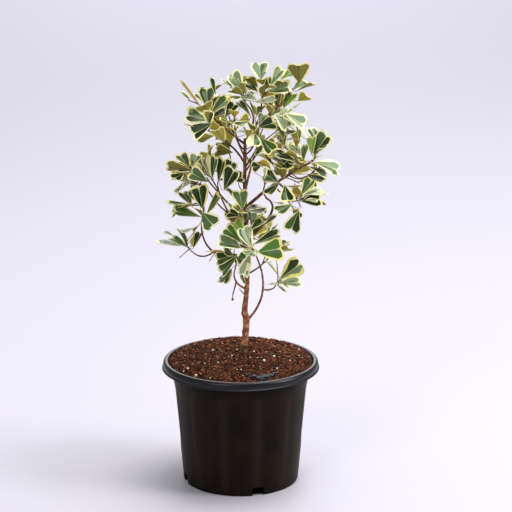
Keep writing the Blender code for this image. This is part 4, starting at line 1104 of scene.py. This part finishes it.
def frontLeaf(spec, index, shift, shoots, nominal, fold, curl):
    x0, z0, x1, z1, depth, width, tint = spec
    foot = seenPoint(x0, z0, depth + shift)
    end = seenPoint(x1, z1, depth + shift)
    drawn = (end - foot).length
    length = max(drawn, (drawn + nominal) / 2)
    sight = (eye - foot).normalized()
    under = tint == "olive"
    # A blade that is drawn short leans: upper sides show where it leans back as it rises.
    away = 1 if (z1 > z0) != under else -1
    end = end - sight * (away * math.sqrt(length ** 2 - drawn ** 2))
    along = (end - foot).normalized()
    toward = (sight - along * sight.dot(along)).normalized()
    halfWidth = max(width, length * leafLook["widthShare"]) / 2
    roll = math.acos(width / (2 * halfWidth))
    faces = [Matrix.Rotation(turn, 3, along) @ toward * (-1 if under else 1) for turn in (roll, -roll)]
    face = max(faces, key=lambda item: item.z)
    root = nearestRoot(shoots, foot, along, 0.011 * (index % 5))
    leaf = Leaf(root, foot, along, face, length, halfWidth, fold, curl, tint)
    leaf.openness = 0.25 + 0.75 * width / (2 * halfWidth)  # a blade seen on its edge lies flatter
    return leaf


def nearestRoot(shoots, foot, along, offset):
    best = None
    for path, _, _ in shoots:
        for step in range(12):
            point, _ = pointAlong(path, 0.27 + 0.06 * step + offset)
            span = foot - point
            cost = span.length + 5 * (1 - span.normalized().dot(along))
            if span.length < 3.5:
                cost += 8
            if best is None or cost < best[0]:
                best = (cost, point)
    return best[1]


class Mass:
    # A stem from the limb to the middle of the mass, and twigs that fork from it.
    def __init__(self, name, spec, limbs, blocked):
        self.name = name
        parent, self.share, middle, self.reach, self.count, self.leafLength, self.lean, self.seed = spec
        self.rng = random.Random(name)
        self.limb = limbs[parent]
        self.middle = Vector(middle)
        foot, heading = pointAlong(self.limb.path, self.share)
        rootRadius = twigLook["stemRoot"]
        if self.share == 1.0:
            foot = foot + heading * gap
            rootRadius = self.limb.radii[-1] * 0.9
        else:
            level = Vector((self.middle.x - foot.x, self.middle.y - foot.y, 0)).normalized()
            heading = (level + rising(0.5)).normalized()
        span = (self.middle - foot).length
        turn = foot + heading * (span * 0.45)
        steps = twigLook["stemSteps"]
        stem = bend(foot, turn.lerp((foot + self.middle) / 2, 0.5), self.middle, steps)
        self.shoots = [(stem, taper(rootRadius, twigLook["stemTip"], steps), twigLook["stemSides"])]
        self.outward = Vector((self.middle.x - 4, self.middle.y - 2, 0)).normalized()
        self.leafTrees = []
        self.fineTwigs = []
        others = [limb.guard for limb in limbs.values() if limb is not self.limb]
        self.fork(others + blocked)
        self.guards = [guardOf(*shoot, leafMargin) for shoot in self.shoots]

    def fork(self, blocked):
        stem = self.shoots[0][0]
        fronts = len(seenLeaves.get(self.name, ()))
        twigCount = max(0, round((self.count + fronts) / twigLook["leavesPerTwig"]) - 1)
        phase = self.rng.uniform(0, math.tau)
        for index in range(twigCount):
            start, along = pointAlong(stem, 0.45 + 0.4 * index / twigCount)
            for attempt in range(twigLook["tries"]):
                angle = phase + index * math.tau / twigCount + self.rng.uniform(-0.4, 0.4) * (1 + attempt)
                aim = (along * 0.55 + around(along, angle) * 0.8 + rising(0.15)).normalized()
                tip = start + aim * (self.reach * twigLook["lengthShare"] * self.rng.uniform(0.8, 1.1))
                middle = (start + tip) / 2 + along * ((tip - start).length * 0.06)
                steps = twigLook["twigSteps"]
                radii = taper(twigLook["twigRoot"], twigLook["twigTip"], steps)
                shoot = (bend(start, middle, tip, steps), radii, twigLook["twigSides"])
                if not touches(guardOf(*shoot, leafMargin), blocked):
                    self.shoots.append(shoot)
                    break

    def layFrontLeaves(self, blocked):
        # A leaf with no room at its own depth is tried a little nearer or farther.
        self.leaves = []
        self.blades = []
        for index, spec in enumerate(seenLeaves.get(self.name, ())):
            fold = self.rng.uniform(0.15, 0.4)
            curl = self.rng.uniform(-0.02, 0.08)
            for shift in leafLook["shifts"]:
                leaf = frontLeaf(spec, index, shift, self.shoots, self.leafLength * 0.82, fold, curl)
                if self.fits(leaf, blocked):
                    break

    def fits(self, leaf, blocked):
        if touches(leaf.body(leafMargin), blocked) or touches(leaf.blade(leafMargin), self.blades):
            return False
        self.blades.append(leaf.blade())
        self.leaves.append(leaf)
        return True

    def fill(self, blocked, shown):
        # These leaves follow one another round each shoot. A leaf with no room is skipped, and so
        # is one that would hide a leaf that shows from the front.
        self.rng = random.Random(self.seed)
        for count in range(self.count):
            rank = count // len(self.shoots)
            share = max(0.12, leafLook["topShare"] - rank * leafLook["shareStep"])
            root, axis = pointAlong(self.shoots[count % len(self.shoots)][0], share)
            for attempt in range(leafLook["tries"]):
                angle = rank * leafLook["turn"] + count * 1.1
                leaf = self.tryLeaf(root, axis, share, angle, attempt, self.leafLength)
                if (leaf.tip() - self.middle).length > self.reach or hides(leaf, shown):
                    continue
                if self.fits(leaf, blocked):
                    break

    def tryLeaf(self, root, axis, share, angle, attempt, nominal):
        rng = self.rng
        angle += rng.gauss(0, 0.25 + 0.12 * attempt)
        opening = leafLook["openAngle"] + leafLook["openRootward"] * (1 - share)
        openAngle = math.radians(opening + rng.gauss(0, leafLook["openSpread"]))
        along = axis * math.cos(openAngle) + around(axis, angle) * math.sin(openAngle)
        along = (along + self.outward * 0.15 + rising(self.lean)).normalized()
        light = axis * 0.4 + rising(0.55) + self.outward * 0.45
        face = (light - along * light.dot(along)).normalized()
        face = Matrix.Rotation(rng.gauss(0, leafLook["faceSpread"]), 3, along) @ face
        size = nominal * (1 + rng.uniform(-leafLook["sizeSpread"], leafLook["sizeSpread"]))
        size *= 1.0 - 0.03 * attempt
        foot = root + along * (leafLook["stalkShare"] * size)
        length = size * (1 - leafLook["stalkShare"])
        halfWidth = length * leafLook["widthShare"] / 2
        fold = rng.uniform(*leafLook["folds"])
        curl = rng.uniform(*leafLook["curls"])
        return Leaf(root, foot, along, face, length, halfWidth, fold, curl)

    def growFiner(self, blocked, seenTree):
        # Fine twigs with smaller leaves, only where the eye finds the larger leaves before them.
        self.rng = random.Random(self.name + " finer")
        for path, _, _ in self.shoots:
            for share in finerLook["shares"]:
                start, axis = pointAlong(path, share)
                out = around(axis, self.rng.uniform(0, math.tau))
                aim = (axis * 0.6 + out * 0.8 + rising(0.25)).normalized()
                length = self.rng.uniform(*finerLook["lengths"])
                tip = start + aim * length
                fine = bend(start, (start + tip) / 2 + axis * (length * 0.08), tip, 2)
                if share < 1.0:
                    if touches(guardOf(fine, taper(0.4, 0.3, 2), 3, 0.2), blocked):
                        continue
                    if (tip - self.middle).length > self.reach or not hidden((tip,), seenTree):
                        continue
                    self.fineTwigs.append((fine, taper(finerLook["root"], finerLook["tip"], 2)))
                else:
                    fine = path
                for count in range(finerLook["leaves"]):
                    root, heading = pointAlong(fine, 0.98 - finerLook["leafStep"] * count)
                    for attempt in range(finerLook["tries"]):
                        nominal = self.leafLength * self.rng.uniform(*finerLook["sizes"])
                        leaf = self.tryLeaf(root, heading, 0.9 - 0.3 * count, count * 2.4, attempt, nominal)
                        tip = leaf.tip()
                        side = leaf.along.cross(leaf.face) * leaf.halfWidth
                        lower = leaf.foot + leaf.along * 6 + side * 0.5
                        corners = (leaf.foot, tip, tip + side, tip - side, lower)
                        if (tip - self.middle).length > self.reach or not hidden(corners, seenTree):
                            continue
                        if self.fits(leaf, blocked):
                            break


def hidden(points, tree):
    # Whether a leaf stands between the eye and every one of the points.
    for point in points:
        sight = point - eye
        distance = tree.ray_cast(eye, sight.normalized())[3]
        if distance is None or distance > sight.length - 1.0:
            return False
    return True


def leafTree(leaves):
    # One tree over all the blades, to look through from the eye.
    points = []
    faces = []
    for leaf in leaves:
        base = len(points)
        for ring in leaf.rings()[-3:]:
            points += ring[:3]
        for a in (base, base + 1, base + 3, base + 4):
            faces.append((a, a + 1, a + 4, a + 3))
    return BVHTree.FromPolygons(points, faces)


def growMasses(limbs):
    # Every stem is laid before the first leaf, so that no leaf takes a stem's place.
    grown = []
    laid = []
    for name, spec in masses.items():
        mass = Mass(name, spec, limbs, laid)
        grown.append(mass)
        laid += mass.guards
    laid += [limb.guard for limb in limbs.values()]
    for mass in grown:
        mass.layFrontLeaves(taken(mass, grown, laid))
        mass.leafTrees = [leaf.body() for leaf in mass.leaves]
    shown = [sightTo(spot) for mass in grown for leaf in mass.leaves for spot in leaf.spots()]
    shown += [sightAt(across, up, 300.0) for across, up in openPlaces["sky"]]
    shown += [sightAt(across, up, 0.0) for across, up in openPlaces["limbs"]]
    for mass in grown:
        mass.fill(taken(mass, grown, laid), shown)
        mass.leafTrees = [leaf.body() for leaf in mass.leaves]
    print("leaves of the solids", sum(len(mass.leaves) for mass in grown))
    seenTree = leafTree([leaf for mass in grown for leaf in mass.leaves])
    for mass in grown:
        mass.growFiner(taken(mass, grown, laid), seenTree)
        mass.leafTrees = [leaf.body() for leaf in mass.leaves]
    print("leaves with the finer twigs", sum(len(mass.leaves) for mass in grown))
    return grown


def taken(mass, grown, laid):
    # The room that limbs, other stems and other masses' leaves take up.
    found = [tree for tree in laid if tree not in mass.guards]
    for other in grown:
        if other is not mass:
            found += other.leafTrees
    return found


# Leaf drawing. Each row of the blade gives, from the rib out, the rib's edge, a line in the
# green, the edge of the green and the outline, as share of the half width and of the length.

bladeRows = (
    ((0.015, 0.000), (0.030, 0.000), (0.045, 0.000), (0.065, 0.000)),
    ((0.022, 0.400), (0.260, 0.410), (0.520, 0.420), (0.690, 0.380)),
    ((0.032, 0.730), (0.450, 0.745), (0.850, 0.735), (0.985, 0.700)),
    ((0.120, 0.870), (0.420, 0.920), (0.725, 0.910), (0.985, 0.845)),
    ((0.020, 0.905), (0.290, 0.985), (0.580, 1.000), (0.850, 0.950)),
)
bladeColumns = 7
greenRows = len(bladeRows) - 2

# greyGreen, mistGreen and paleGreen are partly the leaves' own grey-green variegation and partly painted
# sheen, the bluish-white gloss of leaf faces turned to the sky; the grey, mist and pale tints carry it.
leafFinishes = {
    "darkGreen": (0.009, 0.024, 0.004), "deepGreen": (0.021, 0.054, 0.008),
    "midGreen": (0.056, 0.126, 0.018), "leafGreen": (0.075, 0.2, 0.028),
    "greyGreen": (0.08, 0.142, 0.06), "mistGreen": (0.195, 0.285, 0.165),
    "paleGreen": (0.35, 0.43, 0.28), "springGreen": (0.17, 0.41, 0.035),
    "lightGreen": (0.33, 0.52, 0.14), "cream": (0.985, 0.945, 0.55), "warmCream": (0.9, 0.8, 0.29),
    # olive, oliveDark and gold are the undersides' own tones, made lighter as painted light for the light
    # that shines through the leaf
    "ribCream": (0.62, 0.66, 0.34), "olive": (0.37, 0.33, 0.05), "oliveDark": (0.19, 0.175, 0.03),
    # the near-black green is painted shade, for leaves deep in the crown's shadow
    "gold": (0.56, 0.4, 0.04), "shadeGreen": (0.016, 0.015, 0.005), "ribBrown": (0.11, 0.045, 0.015),
}
# tones of the halves, the tone of the odd patch and the width of the margin
leafTints = {
    "dark": ("darkGreen", "deepGreen", "deepGreen", 0.9),
    "green": ("deepGreen", "midGreen", "greyGreen", 0.95),
    "middle": ("midGreen", "leafGreen", "greyGreen", 0.9),
    "grey": ("greyGreen", "mistGreen", "deepGreen", 0.95),
    "mist": ("mistGreen", "greyGreen", "paleGreen", 0.95),
    "pale": ("mistGreen", "paleGreen", "greyGreen", 1.15),
    "cream": ("paleGreen", "cream", "mistGreen", 1.2),
    "halfCream": ("greyGreen", "cream", "mistGreen", 1.2),
    "wide": ("deepGreen", "mistGreen", "greyGreen", 1.8),
    "fresh": ("leafGreen", "springGreen", "leafGreen", 0.75),
    "spring": ("lightGreen", "springGreen", "lightGreen", 0.9),
    "olive": ("deepGreen", "midGreen", "greyGreen", 1.0),
    # painted shade: a near-black leaf, for leaves deep in shadow
    "shade": ("shadeGreen", "darkGreen", "shadeGreen", 0.6),
    "deepGrey": ("deepGreen", "greyGreen", "mistGreen", 0.95),
    "mistDark": ("mistGreen", "deepGreen", "greyGreen", 1.1),
    "greyDark": ("greyGreen", "darkGreen", "deepGreen", 0.9),
    "darkGrey": ("darkGreen", "greyGreen", "deepGreen", 1.0),
    "greenMist": ("midGreen", "mistGreen", "greyGreen", 1.1),
}
# these keep the first tone on the left half, looking from the foot to the tip
orderedTints = ("deepGrey", "mistDark", "greyDark", "darkGrey", "greenMist", "wide", "halfCream", "spring")
# the filling leaves inside the crown lean to the dark tints: partly their own dark green, partly painted
# shade
tintShares = {"dark": 36, "green": 30, "grey": 20, "pale": 8, "cream": 3, "fresh": 3}
underShares = (("oliveDark", "olive"), ("olive", "gold"), ("oliveDark", "oliveDark"), ("olive", "olive"))
finishNames = list(leafFinishes)
bladeLook = {
    "marginSpread": (0.65, 1.3), "lowerMargin": 0.55, "ripple": 0.05, "widthJitter": 0.022,
    "lengthJitter": 0.012, "halfThickness": 0.17, "ribDepth": 0.18, "seed": 31,
    # how often both halves have one tone, an outer part has the other, the rim is warm, a part of
    # the rim is missing and a face has the odd tone
    "evenHalves": 0.4, "otherOuter": 0.3, "warmRim": 0.48, "brokenRim": 0.05, "oddPatch": 0.16,
}
stalkRadii = (0.46, 0.36, 0.33, 0.33, 0.36)


def buildBladePattern(made):
    # A grid, closed below. Its points stay on whole numbers until a leaf is drawn.
    rows = len(bladeRows) - 1
    bmesh.ops.create_grid(made, x_segments=bladeColumns, y_segments=rows, size=0.5)
    bmesh.ops.translate(made, vec=(0.5, 0.5, 0), verts=made.verts)
    bmesh.ops.scale(made, vec=(bladeColumns, rows, 1), verts=made.verts)
    upper = list(made.faces)
    grown = bmesh.ops.extrude_face_region(made, geom=upper, use_keep_orig=True)
    lower = [item for item in grown["geom"] if isinstance(item, bmesh.types.BMVert)]
    bmesh.ops.translate(made, vec=(0, 0, -1), verts=lower)


bladePattern = patternMesh("bladePattern", buildBladePattern)
print("blade pattern", len(bladePattern.vertices), "points", len(bladePattern.polygons), "faces")


def drawLeaf(bm, leaf, rng):
    tint = leaf.tint or rng.choices(list(tintShares), tintShares.values())[0]
    verts, faces = layPattern(bm, bladePattern)
    finishOf = zoneFinishes(tint, rng)
    for face in faces:
        face.material_index = finishNames.index(finishOf(face))
    jitter = {}
    side = leaf.along.cross(leaf.face).normalized()
    halfMargin = [leafTints[tint][3] * rng.uniform(*bladeLook["marginSpread"]) for half in (0, 1)]
    ripple = rng.uniform(0.0, bladeLook["ripple"]) * leaf.length
    phase = rng.uniform(0, math.tau)
    for vert in verts:
        column, row, upper = round(vert.co.x), round(vert.co.y), vert.co.z > -0.5
        half = int(column > 3)
        place = column - 4 if half else 3 - column
        if (column, row) not in jitter:
            jitter[column, row] = (
                rng.gauss(0, bladeLook["widthJitter"]), rng.gauss(0, bladeLook["lengthJitter"]),
            )
        sideways, endways = jitter[column, row]
        width, share = bladeRows[row][place]
        if place in (1, 2) and row:
            # The green ends where the margin begins. Below, the margin is a thin line.
            rimWidth, rimShare = bladeRows[row][3]
            greenWidth = bladeRows[row][2][0]
            pull = halfMargin[half] if upper else bladeLook["lowerMargin"]
            edge = rimWidth + (greenWidth - rimWidth) * pull
            width = edge * width / greenWidth + sideways * (1.6 if place == 2 else 4.0)
            if row == greenRows:
                share = rimShare + (share - rimShare) * pull + (0.0 if upper else 0.06 * (1 - pull))
        elif place == 3 and row:
            width += sideways
        if row and place:
            share += endways
        across = width * (1 if half else -1) * leaf.halfWidth
        raised = leaf.halfWidth * leaf.fold * leaf.openness * (width - 0.22 * width ** 2) / 0.78
        raised += ripple * width * math.sin(phase + share * 7 + half * 1.7)
        raised -= leaf.curl * share ** 2 * leaf.length
        thick = bladeLook["halfThickness"] * (1 if upper else -1) * (1.0 - 0.4 * width)
        if not upper and place == 0:
            thick -= bladeLook["ribDepth"] * (1.0 - share)
        spot = leaf.foot + leaf.along * (share * leaf.length) + side * across + leaf.face * (raised + thick)
        vert.co = spot * mm


def zoneFinishes(tint, rng):
    # Gives the finish for each face of the pattern: rib, green or margin, above and below.
    main, second, odd, _ = leafTints[tint]
    tones = [main, second]
    if tint not in orderedTints:
        rng.shuffle(tones)
        if rng.random() < bladeLook["evenHalves"] and tint != "cream":
            tones[1] = tones[0]
    outer = list(tones)
    for half in (0, 1):
        if rng.random() < bladeLook["otherOuter"] and tint not in ("cream", "halfCream"):
            outer[half] = second if tones[half] == main else main
    # The rim's tone is partly the margin's own cream and partly painted light: white cream on the pale,
    # misty leaves where light falls, warm cream on the others and below, as in shade.
    light = tint in ("cream", "halfCream", "pale", "mist")
    rim = "warmCream" if not light and rng.random() < bladeLook["warmRim"] else "cream"
    under = rng.choice(underShares)
    if tint in ("cream", "pale"):
        under = ("warmCream", "ribCream")
    # a leaf in painted shade is near black below as well
    elif tint == "shade":
        under = ("shadeGreen", "shadeGreen")

    def finishOf(face):
        centre = face.calc_center_median()
        column, row, upper = int(centre.x), int(centre.y), centre.z > -0.1
        if -0.9 < centre.z < -0.1:
            return rim
        edge = column in (0, 6) or row == greenRows
        if column == 3:
            if edge:
                return rim if upper else "warmCream"
            return "ribCream" if upper else "ribBrown"
        if not upper:
            return "warmCream" if edge else under[column < 3]
        if edge:
            return "mistGreen" if rng.random() < bladeLook["brokenRim"] else rim
        if rng.random() < bladeLook["oddPatch"]:
            return odd
        half = 0 if column < 3 else 1
        return outer[half] if column in (1, 5) else tones[half]

    return finishOf


def stalkPath(leaf):
    end = leaf.foot + leaf.along * 0.6
    control = end - leaf.along * ((end - leaf.root).length * 0.45)
    return bezier(leaf.root, control, end, len(stalkRadii) - 1)


def buildFoliage(grown):
    rng = random.Random(bladeLook["seed"])
    bm = bmesh.new()
    stalks = bmesh.new()
    for leaf in (leaf for mass in grown for leaf in mass.leaves):
        drawLeaf(bm, leaf, rng)
        drawTube(stalks, stalkPath(leaf), stalkRadii, 4, 0 if rng.random() < 0.6 else 1)
    finishes = []
    for name, colour in leafFinishes.items():
        rough = 0.40 if "Green" in name else 0.55
        finishes.append(plainFinish(name, colour, rough, specular=0.30, bump=0.22, scale=420.0, depth=0.25))
    addPiece("figLeaves", bm, finishes, list(masses), 24)
    stalkFinishes = [
        mottledFinish("stalkGreen", (0.36, 0.36, 0.13), (0.24, 0.20, 0.07), 0.55, 200.0),
        mottledFinish("stalkBrown", (0.20, 0.11, 0.05), (0.30, 0.24, 0.10), 0.6, 200.0),
    ]
    addPiece("leafStalks", stalks, stalkFinishes, [], 60)


# Short bare twigs that show against the sky: limb, places on the plane through the pot's axis
# and radius at the foot
seenTwigs = (
    ("trunk", ((3, 193), (0, 199)), 0.7),
    ("trunk", ((1, 292), (-8, 297), (-12, 302)), 0.6),
    ("trunk", ((2, 300), (-1, 306), (-2, 312)), 0.55),
    ("trunk", ((5, 343), (10, 346)), 0.55),
    ("bough_left_low", ((-53, 240), (-60, 234)), 0.55),
    ("bough_left", ((-6, 238), (-6, 242)), 0.6),
    ("bough_left", ((-26, 236), (-30, 231)), 0.5),
    ("bough_right", ((48, 318), (49, 328)), 0.55),
    ("bough_right", ((52, 317), (58, 315), (66, 317)), 0.6),
    ("bough_right_down", ((54, 294), (60, 286)), 0.55),
)
# places along the end of the stub, in mm from its tip, and radii there
stubKnob = ((-1.2, 0.65), (-0.4, 1.15), (0.3, 1.30), (0.9, 1.05), (1.3, 0.40))
# the same for a bud, as shares of its length and of its width
budShape = ((-0.2, 0.75), (0.15, 1.0), (0.5, 0.85), (0.8, 0.45), (1.0, 0.08))


def drawKnob(bm, path, shape, length, width, sides):
    # A swelling at the end of the path.
    heading = (path[-1] - path[-2]).normalized()
    middles = [path[-1] + heading * (length * share) for share, _ in shape]
    drawTube(bm, middles, [width * share for _, share in shape], sides)


def drawBud(bm, path, length):
    drawKnob(bm, path, budShape, length, length * 0.22, 5)


def drawSeenTwigs(bm, buds, rng):
    for name, places, radius in seenTwigs:
        first = Vector(places[0])
        spots = [pointAlong(limbs[name].path, step / 60)[0] for step in range(61)]
        path = [min(spots, key=lambda spot: (Vector(onPlane(spot)) - first).length)]
        for step, (across, up) in enumerate(places[1:], 1):
            path.append(seenPoint(across, up, path[0].y - 1.2 * step))
        fine = catmull(path, 5)
        drawTube(bm, fine, taper(radius, radius * 0.6, len(fine) - 1), 6)
        drawBud(buds, fine, rng.uniform(1.8, 2.6))


def buildTwigs(grown):
    rng = random.Random(5)
    bm = bmesh.new()
    buds = bmesh.new()
    for mass in grown:
        for number, (path, radii, _) in enumerate(mass.shoots):
            steps = 9 if number else 12
            fine = drift(catmull(path, max(2, steps // (len(path) - 1))), 0.35)
            if number == 0:
                fine[0] = path[0] - (fine[1] - path[0]).normalized() * 0.8
            last = len(fine) - 1
            swell = [rng.uniform(-0.03, 0.12) for point in fine]
            drawTube(bm, fine, [radiusAt(radii, step / last) + swell[step] for step in range(last + 1)], 6)
            drawBud(buds, fine, rng.uniform(2.0, 3.4))
        for path, radii in mass.fineTwigs:
            drawTube(bm, path, radii, 5)
            drawBud(buds, path, rng.uniform(1.3, 2.2))
    drawSeenTwigs(bm, buds, rng)
    drawKnob(bm, limbs["bough_stub"].path, stubKnob, 1.0, 1.0, 8)
    twigFinish = mottledFinish(
        "twigBark", (0.075, 0.028, 0.012), (0.230, 0.100, 0.048), 0.7, 340.0, 0.55, 0.10,
        bump=0.5, depth=0.2, specular=0.3,
    )
    addPiece("figTwigs", bm, [twigFinish], [], 60)
    budFinish = mottledFinish("budScales", (0.30, 0.25, 0.08), (0.13, 0.075, 0.035), 0.5, 400.0)
    addPiece("leafBuds", buds, [budFinish], [], 60)


grown = growMasses(limbs)
buildFoliage(grown)
buildTwigs(grown)


# Floor, lights and camera

# place, the point it looks at, size in metres, watts and colour
lights = {
    "topLight": ((0.5, 0.3, 2.4), (0, 0, 0.25), 1.6, 52, (1.0, 0.99, 0.97)),
    "sideLight": ((2.2, -0.6, 1.5), (0, 0, 0.25), 1.1, 40, (1.0, 0.98, 0.93)),
    "frontLight": ((-1.4, -2.4, 1.8), (0, 0, 0.25), 1.3, 22, (1.0, 0.99, 0.96)),
    "backLight": ((0.0, 3.8, 2.0), (0, 1.6, 0), 2.6, 60, (0.96, 0.97, 1.0)),
}


def buildStage():
    bm = bmesh.new()
    bmesh.ops.create_grid(bm, x_segments=2, y_segments=2, size=9.0)
    finish = plainFinish("paleFloor", (0.555, 0.540, 0.630), 0.75, specular=0.2, bump=0.05)
    floor = newObject("floor", bm, [finish])


def placeView(name, made, place, turn):
    holder = bpy.data.objects.new(name, made)
    holder.location = place
    holder.rotation_euler = turn
    bpy.context.scene.collection.objects.link(holder)
    return holder


def buildLight():
    world = bpy.data.worlds.new("studio")
    world.use_nodes = True
    sky = world.node_tree.nodes["Background"].inputs
    sky["Color"].default_value = (0.95, 0.94, 0.92, 1.0)
    sky["Strength"].default_value = 0.40
    bpy.context.scene.world = world
    for name, (place, target, size, power, colour) in lights.items():
        light = bpy.data.lights.new(name, "AREA")
        light.shape = "DISK"
        light.size = size
        light.energy = power
        light.color = colour
        turn = (Vector(target) - Vector(place)).to_track_quat("-Z", "Y").to_euler()
        placeView(name, light, place, turn)


def buildCamera():
    # The photograph's own angle.
    pitch, distance = view["pitch"], view["distance"]
    camera = bpy.data.cameras.new("photoCamera")
    camera.lens = view["lens"]
    camera.sensor_width = 36.0
    place = (eye.x * mm, -distance * math.cos(pitch), view["aimHeight"] + distance * math.sin(pitch))
    bpy.context.scene.camera = placeView("photoCamera", camera, place, (math.pi / 2 - pitch, 0, 0))
    bpy.context.scene.view_settings.view_transform = "Standard"


buildStage()
buildLight()
buildCamera()
print("stage set")
